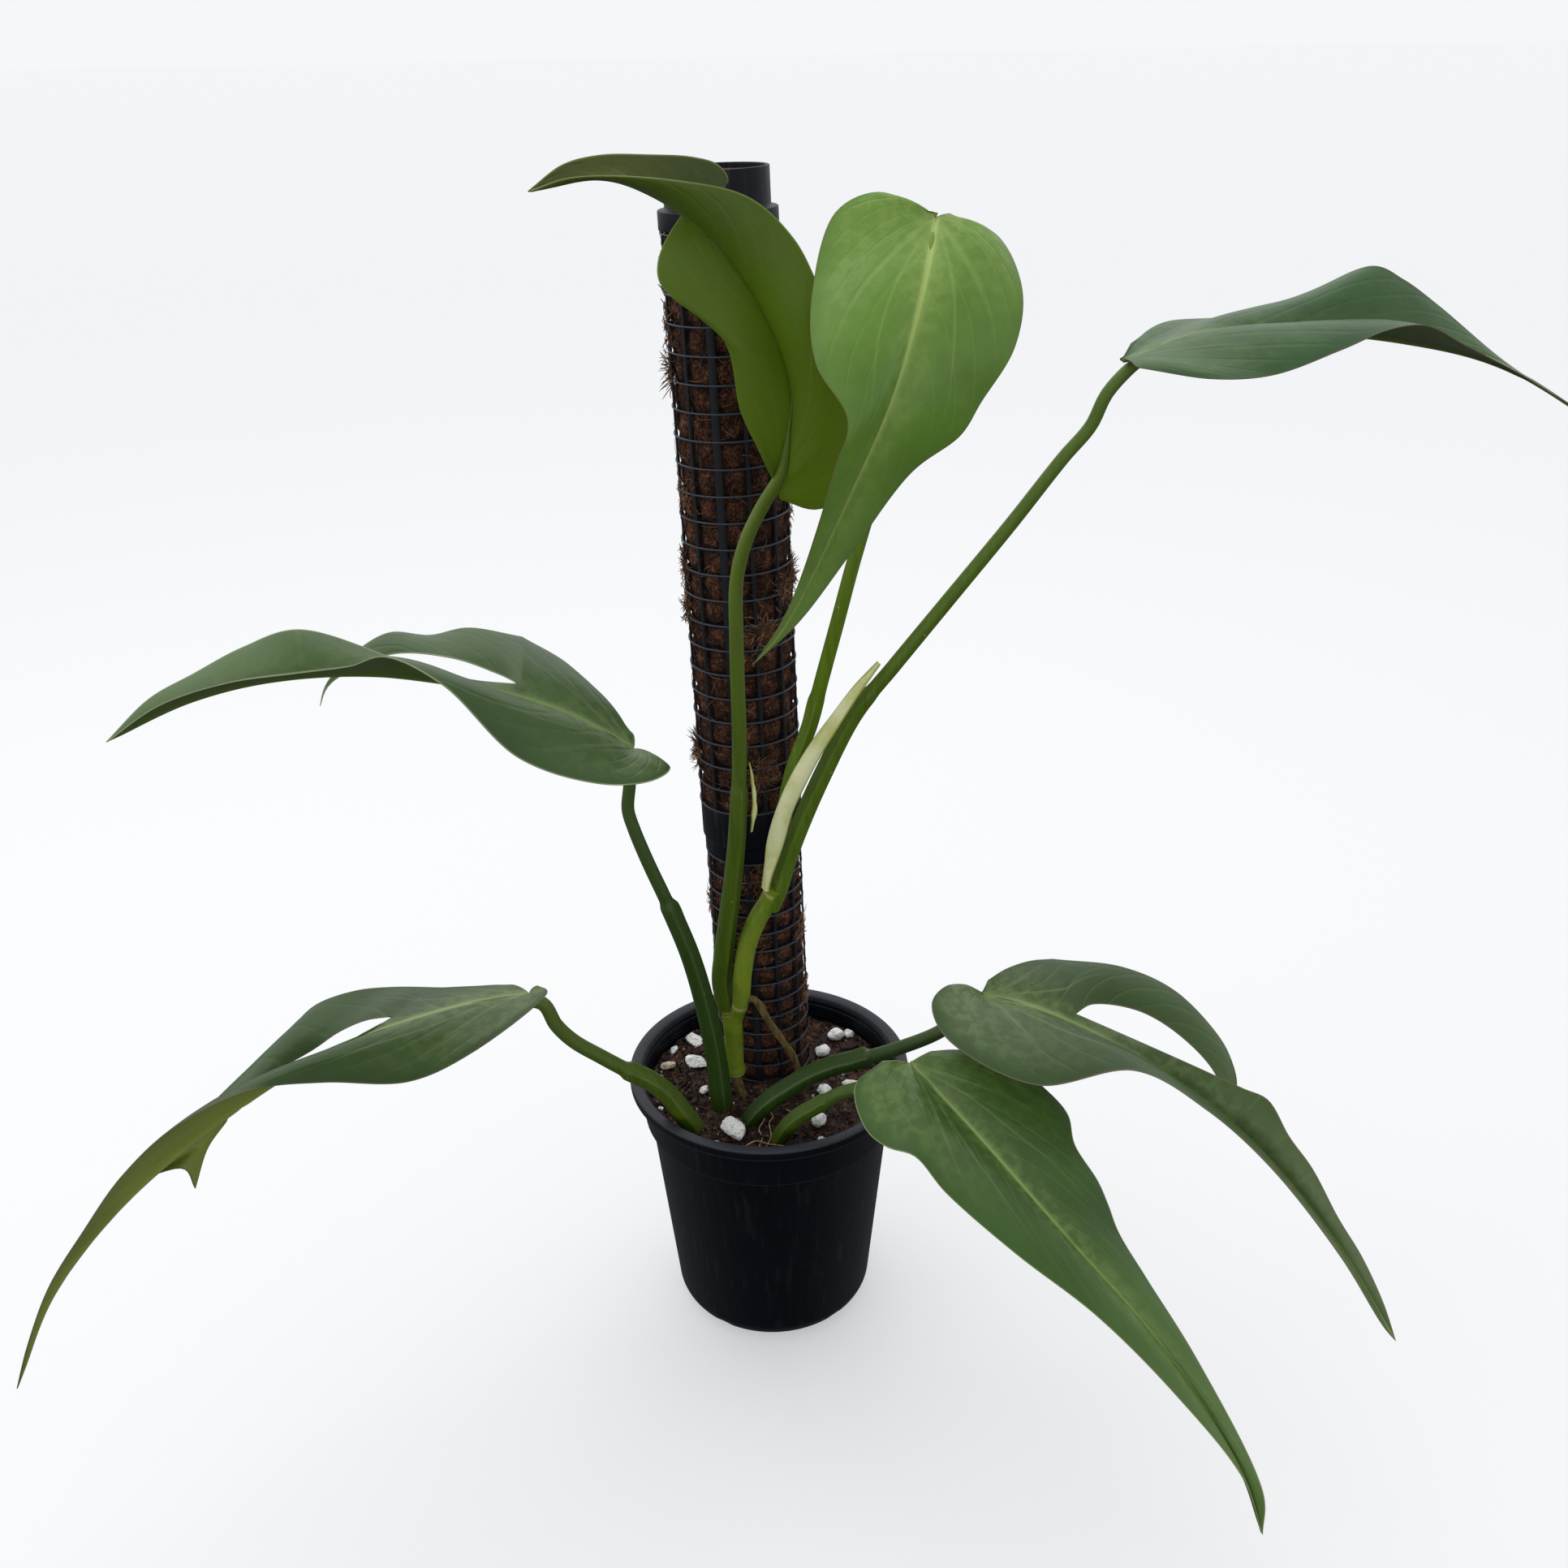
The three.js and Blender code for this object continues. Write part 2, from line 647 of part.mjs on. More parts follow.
function sheetSolid(patchSets, thicknessAt) {
  const points = [];
  const places = new Map();
  const indexOf = (p) => {
    const key = [p.x, p.y, p.z].map((c) => Math.round(c * 1000)).join(',');
    if (!places.has(key)) {
      places.set(key, points.push(p.clone()) - 1);
    }
    return places.get(key);
  };
  const triangles = [];
  const addTriangle = (a, b, c) => {
    if (a !== b && b !== c && c !== a) {
      triangles.push([a, b, c]);
    }
  };
  for (const { patches, side } of patchSets) {
    for (const rows of patches) {
      const ids = rows.map((row) => row.map(indexOf));
      for (let i = 0; i + 1 < ids.length; i += 1) {
        for (let j = 0; j + 1 < ids[i].length; j += 1) {
          const corners = [ids[i][j], ids[i + 1][j], ids[i + 1][j + 1], ids[i][j + 1]];
          if (side === 'right') {
            corners.reverse();
          }
          const [a, b, c, d] = corners;
          if ((i + j) % 2) {
            addTriangle(a, d, c);
            addTriangle(a, c, b);
          } else {
            addTriangle(a, d, b);
            addTriangle(d, c, b);
          }
        }
      }
    }
  }
  const normals = points.map(() => new THREE.Vector3());
  for (const [a, b, c] of triangles) {
    const normal = points[b].clone().sub(points[a]).cross(points[c].clone().sub(points[a]));
    for (const id of [a, b, c]) {
      normals[id].add(normal);
    }
  }
  const count = points.length;
  for (let i = 0; i < count; i += 1) {
    points.push(points[i].clone().addScaledVector(normals[i].normalize(), -thicknessAt(points[i])));
  }
  const edges = new Map();
  for (const [a, b, c] of triangles) {
    for (const [from, to] of [[a, b], [b, c], [c, a]]) {
      edges.set(`${from},${to}`, [from, to]);
    }
  }
  const solid = [...triangles, ...triangles.map(([a, b, c]) => [a + count, c + count, b + count])];
  for (const [from, to] of edges.values()) {
    if (!edges.has(`${to},${from}`)) {
      solid.push([to, from, from + count], [to, from + count, to + count]);
    }
  }
  return geometryFrom(points, solid);
}

function makeStalk({ stalk, midrib }, grow = 0) {
  const ribCurve = curveThrough(midrib);
  const route = [...stalk.route, ribCurve.getPointAt(0), ribCurve.getPointAt(0.03)];
  return toSolid(tube(route, (t) => stalkRadius(stalk, t) + grow, STALK_SIDES, stalkShares(stalk)));
}

// A leaf, cut back by a gap from what its stalk grows out of

function makeLeaf(leaf, cutters) {
  const midrib = curveThrough(leaf.midrib);
  const samples = stationsOf(leaf).map((m) => midrib.getPointAt(m));
  const thicknessAt = (point) => {
    const step = samples.findIndex((sample) => sample.distanceTo(point) < 0.01);
    return blade.thickness + (step < 0 ? 0 : blade.rib * (1 - step / blade.rows));
  };
  const sheet = sheetSolid([
    { patches: halfPatches(leaf, 'left'), side: 'left' },
    { patches: halfPatches(leaf, 'right'), side: 'right' },
  ], thicknessAt);
  let body = toSolid(sheet).add(makeStalk(leaf));
  for (const cutter of cutters) {
    body = body.subtract(cutter);
  }
  return fromSolid(largestOf(body));
}

// A stalk is winged from its base to the end of its sheath, and bare above that

function stalkRadius({ base, neck, top, sheathEnd }, t) {
  const winged = base + (neck - base) * (t / sheathEnd);
  const bare = top + 1.6 * (1 - t);
  return winged + (bare - winged) * smooth(sheathEnd - SHEATH_STEP, sheathEnd + SHEATH_STEP, t);
}

function stalkShares({ sheathEnd }) {
  const low = evenShares(Math.round(STALK_STEPS * sheathEnd)).map((t) => t * (sheathEnd - SHEATH_STEP));
  const high = evenShares(Math.round(STALK_STEPS * (1 - sheathEnd)));
  return [...low, ...high.map((t) => sheathEnd + SHEATH_STEP + t * (1 - sheathEnd - SHEATH_STEP))];
}

// Pot: one wall profile turned about the axis, with drain holes cut through the lower corner

function potProfile() {
  const { height, rimRadius, rimDepth, openingRadius, neckRadius, collarRadius } = pot;
  const { shoulderRadius, footRadius, cornerRadius, wall } = pot;
  const outside = [[0, 0], [footRadius - cornerRadius, 0]];
  for (let i = 1; i <= CORNER_STEPS; i += 1) {
    const angle = (Math.PI / 2) * (i / CORNER_STEPS);
    outside.push([footRadius - cornerRadius * (1 - Math.sin(angle)), cornerRadius * (1 - Math.cos(angle))]);
  }
  outside.push([shoulderRadius, stepHeight - 1.5], [collarRadius, stepHeight]);
  outside.push([neckRadius, height - rimDepth], [rimRadius, height - rimDepth]);
  outside.push([rimRadius, height - 1.2], [rimRadius - 1.2, height]);
  const inside = [
    [openingRadius, height], [neckRadius - wall, height - 3],
    [collarRadius - wall, stepHeight], [shoulderRadius - wall, stepHeight - 2],
    [footRadius - wall, cornerRadius], [footRadius - cornerRadius * 0.7, wall * 1.6], [0, wall],
  ];
  return [...outside, ...inside];
}

function makePot() {
  let body = toSolid(turned(potProfile(), pot.sides));
  for (let i = 0; i < pot.drainHoles; i += 1) {
    const angle = radians(pot.drainAngle + (360 / pot.drainHoles) * i);
    const reach = pot.footRadius - 8;
    const cutter = new THREE.CylinderGeometry(pot.drainRadius, pot.drainRadius, 14, 12);
    cutter.rotateZ(Math.PI / 2);
    cutter.scale(1, 1, 0.7);
    cutter.translate(reach, 0, 3.5);
    cutter.rotateZ(angle);
    body = body.subtract(toSolid(cutter));
  }
  return fromSolid(body);
}

// Soil: a crumbly top that mounds up in the middle, over a plain plug of the pot's inner shape

function soilHeight(x, y) {
  const spread = Math.hypot(x, y) / pot.collarRadius;
  const crumbs = Math.sin(x * 0.31 + 1.3) * Math.cos(y * 0.27) + 0.6 * Math.sin(x * 0.17 - y * 0.41);
  return soil.level + soil.mound * (0.6 - spread * spread) + soil.crumb * crumbs;
}

function makeSoil(cutters) {
  const clear = pot.wall + GAP + 0.25;
  const edge = pot.collarRadius - clear;
  const wallAt = [
    [edge, soil.level - 8], [edge, stepHeight + 0.8],
    [pot.shoulderRadius - clear, stepHeight - 2], [pot.footRadius - clear, pot.cornerRadius + 1],
    [pot.footRadius - pot.cornerRadius * 0.75, pot.wall * 1.6 + 2.2],
  ];
  const points = [];
  const triangles = [];
  const ring = (radius, height) => {
    const start = points.length;
    for (let j = 0; j < soil.sides; j += 1) {
      const angle = (2 * Math.PI * j) / soil.sides;
      const x = radius * Math.cos(angle);
      const y = radius * Math.sin(angle);
      points.push(new THREE.Vector3(x, y, height ?? soilHeight(x, y)));
    }
    return start;
  };
  const join = (upper, lower) => {
    for (let j = 0; j < soil.sides; j += 1) {
      const k = (j + 1) % soil.sides;
      triangles.push([upper + j, lower + j, lower + k], [upper + j, lower + k, upper + k]);
    }
  };
  const middle = points.push(new THREE.Vector3(0, 0, soilHeight(0, 0))) - 1;
  let previous = ring(edge / soil.rings);
  for (let j = 0; j < soil.sides; j += 1) {
    triangles.push([middle, previous + j, previous + ((j + 1) % soil.sides)]);
  }
  for (let i = 2; i <= soil.rings; i += 1) {
    const next = ring((edge * i) / soil.rings);
    join(previous, next);
    previous = next;
  }
  for (const [radius, height] of wallAt) {
    const next = ring(radius, height);
    join(previous, next);
    previous = next;
  }
  const floor = points.push(new THREE.Vector3(0, 0, pot.wall + GAP + 1)) - 1;
  for (let j = 0; j < soil.sides; j += 1) {
    triangles.push([floor, previous + ((j + 1) % soil.sides), previous + j]);
  }
  let body = toSolid(geometryFrom(points, triangles));
  for (const cutter of cutters) {
    body = body.subtract(cutter);
  }
  return fromSolid(body);
}

// Pole: a net of ridged wires round a coir fill, in two tiers joined by a coupler

function makeNet(low, high, { netInner, netOuter, rows }) {
  const { columns, wireHalf, x, y } = pole;
  const pitch = (high - low - 2 * wireHalf) / rows;
  const turn = (2 * Math.PI) / columns;
  const wireAngle = wireHalf / netInner;
  const points = [];
  const places = new Map();
  const place = (key, radius, angle, z) => {
    if (!places.has(key)) {
      const point = new THREE.Vector3(x + radius * Math.cos(angle), y + radius * Math.sin(angle), z);
      places.set(key, points.push(point) - 1);
    }
    return places.get(key);
  };
  const ringHeight = (k) => low + wireHalf + pitch * k;
  const ridge = (c, k) => place(`r${c % columns},${k}`, netOuter, turn * c, ringHeight(k));
  const corner = (cell, k, right, upper) => {
    const c = (cell + columns) % columns;
    const angle = turn * (c + right) + (right ? -wireAngle : wireAngle);
    const z = ringHeight(k + upper) + (upper ? -wireHalf : wireHalf);
    return place(`c${c},${k},${right},${upper}`, netInner, angle, z);
  };
  const triangles = [];
  const quad = (a, b, c, d) => triangles.push([a, b, c], [a, c, d]);
  for (let c = 0; c < columns; c += 1) {
    for (let k = 0; k < rows; k += 1) {
      quad(ridge(c, k), corner(c, k, 0, 0), corner(c, k, 0, 1), ridge(c, k + 1));
      quad(ridge(c + 1, k + 1), corner(c, k, 1, 1), corner(c, k, 1, 0), ridge(c + 1, k));
      quad(ridge(c + 1, k), corner(c, k, 1, 0), corner(c, k, 0, 0), ridge(c, k));
      quad(ridge(c, k + 1), corner(c, k, 0, 1), corner(c, k, 1, 1), ridge(c + 1, k + 1));
      quad(corner(c - 1, k, 1, 0), corner(c - 1, k, 1, 1), corner(c, k, 0, 1), corner(c, k, 0, 0));
    }
    for (let k = 0; k <= rows; k += 1) {
      quad(corner(c, k - 1, 0, 1), corner(c, k, 0, 0), corner(c, k, 1, 0), corner(c, k - 1, 1, 1));
      quad(corner(c - 1, k - 1, 1, 1), corner(c - 1, k, 1, 0), corner(c, k, 0, 0), corner(c, k - 1, 0, 1));
    }
    quad(ridge(c, 0), corner(c, -1, 0, 1), corner(c, -1, 1, 1), ridge(c + 1, 0));
    triangles.push([ridge(c, 0), corner(c - 1, -1, 1, 1), corner(c, -1, 0, 1)]);
    quad(ridge(c + 1, rows), corner(c, rows, 1, 0), corner(c, rows, 0, 0), ridge(c, rows));
    triangles.push([ridge(c, rows), corner(c, rows, 0, 0), corner(c - 1, rows, 1, 0)]);
  }
  return geometryFrom(points, triangles);
}

function makeFillLower() {
  return cylinder(pole.lower.fill, pole.foot, pole.couplerStep - GAP, pole.x, pole.y);
}

function makeBand(profile) {
  const band = turned([...profile, profile[0]], pole.columns * 2);
  band.translate(pole.x, pole.y, 0);
  return band;
}

function makeCoupler() {
  const { couplerBottom, couplerStep, couplerTop, lower, upper } = pole;
  return makeBand([
    [lower.fill + GAP, couplerBottom], [27.5, couplerBottom], [27.5, couplerStep - 1], [28.5, couplerStep],
    [28.5, couplerTop], [upper.fill + GAP, couplerTop], [upper.fill + GAP, couplerStep - GAP],
    [lower.fill + GAP, couplerStep - GAP],
  ]);
}

function makeTopCollar() {
  const { collarBottom, collarTop, top, sleeveRadius, sleeveWall, upper } = pole;
  const inner = upper.fill + GAP;
  return makeBand([
    [inner, collarBottom], [29.3, collarBottom], [29.3, collarTop], [sleeveRadius, collarTop + 0.8],
    [sleeveRadius, top], [sleeveRadius - sleeveWall, top], [sleeveRadius - sleeveWall, collarTop - 2],
    [inner, collarTop - 4],
  ]);
}

function makeFillUpper() {
  const { x, y, couplerStep, collarTop, sleeveRadius, sleeveWall, top, upper } = pole;
  const neck = sleeveRadius - sleeveWall - GAP;
  const fill = turned([
    [0, couplerStep], [upper.fill, couplerStep], [upper.fill, collarTop - 5], [neck, collarTop - 3],
    [neck, top - 3], [0, top - 2],
  ], pole.columns * 2);
  fill.translate(x, y, 0);
  return fromSolid(toSolid(fill));
}

// Stem: two internodes with swollen nodes, a hanging root and a root stub, grown as one piece

function makeStem(grow = 0) {
  const node = (t, at, spread) => Math.exp(-(((t - at) / spread) ** 2));
  const lowerRadius = (t) => stem.lowerRadius + grow + 0.9 * node(t, 0.98, 0.06) + 0.8 * node(t, 0.05, 0.05);
  const upperRadius = (t) => stem.upperRadius + grow + 0.7 * node(t, 0.98, 0.06) - 1.2 * node(t, 0, 0.2);
  const lowerShares = [0, 0.04, 0.08, 0.14, 0.35, 0.6, 0.85, 0.92, 0.98, 1];
  const upperShares = [0, 0.12, 0.25, 0.4, 0.55, 0.7, 0.83, 0.91, 0.97, 1];
  return toSolid(tube(longer(stem.lower, grow), lowerRadius, STEM_SIDES, lowerShares))
    .add(toSolid(tube(longer(stem.upper, grow), upperRadius, STEM_SIDES, upperShares)))
    .add(toSolid(tube(stem.root, () => stem.rootRadius + grow, ROOT_SIDES, evenShares(12))))
    .add(toSolid(tube(stem.stub, () => stem.stubRadius + grow, ROOT_SIDES, evenShares(4))));
}

// A dry sheath: a thin trough along its route, tapering to a point

function makeSheath({ route, radius, arc, turn }, room) {
  const steps = 8;
  const columns = 4;
  const curve = curveThrough(route);
  const rows = [];
  for (let i = 0; i <= steps; i += 1) {
    const t = i / steps;
    const along = curve.getTangentAt(t);
    const side = new THREE.Vector3(0, -1, 0).cross(along).normalize();
    const front = along.clone().cross(side).normalize();
    const spread = radians(arc) * (1 - 0.85 * t ** 1.5);
    const centre = curve.getPointAt(t);
    rows.push(evenShares(columns).map((v) => {
      const angle = radians(turn) + spread * (v - 0.5);
      return centre.clone()
        .addScaledVector(side, radius * Math.cos(angle))
        .addScaledVector(front, radius * Math.sin(angle));
    }));
  }
  const sheath = toSolid(sheetSolid([{ patches: [rows], side: 'right' }], () => SHEATH_THICKNESS));
  return fromSolid(largestOf(sheath.subtract(room)));
}

// Loose things on the soil

function makeGrain(x, y, length, width, turn, seed) {
  const random = seeded(seed);
  const ball = new THREE.IcosahedronGeometry(0.5, length > 10 ? 1 : 0);
  const grain = mergeVertices(ball.deleteAttribute('uv').deleteAttribute('normal'), 1e-3);
  const height = 0.7 * width;
  const position = grain.attributes.position;
  for (let i = 0; i < position.count; i += 1) {
    const bump = 0.9 + 0.25 * random();
    position.setXYZ(i, position.getX(i) * bump, position.getY(i) * bump, position.getZ(i) * bump);
  }
  grain.scale(length, width, height);
  grain.rotateZ(radians(turn));
  grain.translate(x, y, soilHeight(x, y) + height * 0.25);
  return grain;
}

function makeChip(x, y, length, turn) {
  const chip = new THREE.BoxGeometry(length, length * 0.42, 2.4, 2, 1, 1);
  const position = chip.attributes.position;
  for (let i = 0; i < position.count; i += 1) {
    const bend = (position.getX(i) / length) ** 2 * 5;
    position.setZ(i, position.getZ(i) + bend);
  }
  chip.rotateZ(radians(turn));
  chip.translate(x, y, soilHeight(x, y) - 0.4);
  return chip;
}

// The hole that a stalk or root stands in, from a little below its end

function soilHole(route, radius, sides) {
  return toSolid(leaned(tube([beyond(route, HOLE_DEPTH), ...route], () => radius, sides, evenShares(6))));
}

function leaned(geometry) {
  const { about, to, axis, degrees } = lean;
  const turn = new THREE.Matrix4().makeRotationAxis(new THREE.Vector3(...axis).normalize(), radians(degrees));
  geometry.translate(...about.map((value) => -value));
  geometry.applyMatrix4(turn);
  geometry.translate(...to);
  return geometry;
}

// Everything that dents the soil, swollen by the gap

function swollen(geometry, by) {
  const solid = toSolid(geometry);
  const box = solid.boundingBox();
  const centre = box.min.map((low, i) => (low + box.max[i]) / 2);
  const size = box.min.map((low, i) => box.max[i] - low);
  const copy = geometry.clone();
  copy.translate(-centre[0], -centre[1], -centre[2]);
  copy.scale(1 + (2 * by) / size[0], 1 + (2 * by) / size[1], 1 + (2 * by) / size[2]);
  copy.translate(...centre);
  return toSolid(copy);
}

// Scene graph

const plant = new THREE.Group();

function add(name, geometry, colour, roughness, metalness = 0) {
  const material = new THREE.MeshStandardMaterial({ color: colour, roughness, metalness });
  geometry.computeVertexNormals();
  const mesh = new THREE.Mesh(geometry, material);
  mesh.name = name;
  plant.add(mesh);
}

const soilCutters = [
  toSolid(leaned(cylinder(pole.lower.netOuter + 0.5, pole.netFoot - GAP, pot.height, pole.x, pole.y))),
  toSolid(leaned(cylinder(pole.lower.fill + GAP, pole.foot - GAP, pot.height, pole.x, pole.y))),
  soilHole(stem.root.slice(-3).reverse(), stem.rootRadius + 0.5, ROOT_SIDES),
  soilHole(stem.stub.toReversed(), stem.stubRadius + 0.6, ROOT_SIDES),
];

for (const { stalk } of leaves) {
  if (stalk.route[0][2] < soil.level) {
    soilCutters.push(soilHole(stalk.route.slice(0, 4), stalk.base + 0.7, STALK_SIDES));
  }
}

add('pot', makePot(), 0x10141d, 0.45);
add('pole_fill_lower', leaned(makeFillLower()), 0x5a3c28, 1);
add('pole_fill_upper', leaned(makeFillUpper()), 0x5f4029, 1);
const lowerNet = makeNet(pole.netFoot, pole.couplerBottom - GAP, pole.lower);
const upperNet = makeNet(pole.couplerTop + GAP, pole.collarBottom - GAP, pole.upper);
add('pole_net_lower', leaned(lowerNet), 0x2c3138, 0.5);
add('pole_net_upper', leaned(upperNet), 0x2c3138, 0.5);
add('pole_coupler', leaned(makeCoupler()), 0x191c26, 0.5);
add('pole_top_collar', leaned(makeTopCollar()), 0x20242f, 0.5);
add('stem', leaned(fromSolid(makeStem())), 0x5f8030, 0.5);

// Leaves 1 to 3 grow from the stem, and leaf 2 out of the foot of leaf 3
const stemRoom = makeStem(GAP);
for (const leaf of leaves) {
  const cutters = leaf.name === 'leaf_2' ? [stemRoom, makeStalk(leaves[2], GAP)] : [stemRoom];
  add(leaf.name, leaned(makeLeaf(leaf, cutters)), leaf.colour, 0.45);
}

for (const sheath of sheaths) {
  const room = makeStalk(leaves[sheath.besideLeaf - 1], GAP);
  add(sheath.name, leaned(makeSheath(sheath, room)), sheath.colour, 0.8);
}

perlite.forEach(([x, y, length, width, turn], i) => {
  const grain = makeGrain(x, y, length, width, turn, 11 + i);
  soilCutters.push(swollen(grain, GAP));
  add(`perlite_${String(i + 1).padStart(2, '0')}`, grain, 0xeeeeea, 0.95);
});

bark.forEach(([x, y, length, turn], i) => {
  const chip = makeChip(x, y, length, turn);
  soilCutters.push(swollen(chip, GAP));
  add(`bark_${i + 1}`, chip, 0x3d2418, 0.95);
});

add('soil', makeSoil(soilCutters), 0x2a1b15, 1);

export default plant;
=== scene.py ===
"""Finishes the potted flame monstera: leaves, stem, pole, potting mix and pot, with a plain stage.

Lengths in the tables are millimetres, +Z up, and MM turns them into the scene's metres.
"""

import math

import bpy
import numpy as np
from mathutils import Matrix, Vector


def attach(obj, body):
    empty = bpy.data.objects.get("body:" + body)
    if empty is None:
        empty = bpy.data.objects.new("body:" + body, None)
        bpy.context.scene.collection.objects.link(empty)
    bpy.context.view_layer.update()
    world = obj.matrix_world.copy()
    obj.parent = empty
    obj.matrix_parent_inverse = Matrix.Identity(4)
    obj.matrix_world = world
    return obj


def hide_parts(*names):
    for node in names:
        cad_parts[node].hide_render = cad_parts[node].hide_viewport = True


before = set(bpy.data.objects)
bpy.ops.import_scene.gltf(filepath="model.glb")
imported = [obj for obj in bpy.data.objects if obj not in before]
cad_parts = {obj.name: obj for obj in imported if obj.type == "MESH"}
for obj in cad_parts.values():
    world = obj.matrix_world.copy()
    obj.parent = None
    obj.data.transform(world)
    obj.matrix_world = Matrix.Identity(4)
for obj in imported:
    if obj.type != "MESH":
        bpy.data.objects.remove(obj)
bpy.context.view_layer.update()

bl_info = {
    "name": "Potted Flame Monstera",
    "version": (1, 0, 0),
    "blender": (4, 5, 0),
    "location": "3D View > Sidebar > Monstera",
    "description": "Builds the leaves, stem, coir pole, potting mix and pot of a potted flame monstera",
    "category": "Add Mesh",
}

MM = 0.001

# The pole leans a little to the left, and the plant leans with it

LEAN = {"about": (0, 25, 150), "to": (-1.6, 24.8, 149.6), "axis": (0, -0.9, 0.436), "degrees": 1.51}

# Pole. Radii are of the coir core and of the inside and outside of the net

POLE = {
    "x": -0.6, "y": 25, "columns": 12, "wire": 0.75, "bar": 1.1, "seam": 2.1,
    "lower": {"fill": 24.9, "net": 27.1, "low": 141, "high": 303.6, "rows": 14, "turn": -98},
    "upper": {"fill": 26.4, "net": 28.6, "low": 334.4, "high": 639.6, "rows": 22, "turn": -103},
    "foot": 62, "coupler_low": 304, "coupler_step": 313.5, "coupler_high": 334,
    "coupler_radii": (27.5, 28.5), "collar_radius": 29.3,
    "collar_low": 640, "collar_high": 649, "top": 667.5, "sleeve": 25.8, "sleeve_wall": 1.8,
}

# Leaves. A midrib runs from the joint with the stalk to the drip tip. Each margin runs from beside
# the notch round the lobe to the tip. 'lobe' is the share of a margin that belongs to the lobe,
# 'arch' how far the half bulges up as a share of its width, and 'groove' the side of the stalk that
# its two wings stand on. A cut half also has a strip along the midrib and a finger beyond the slit.

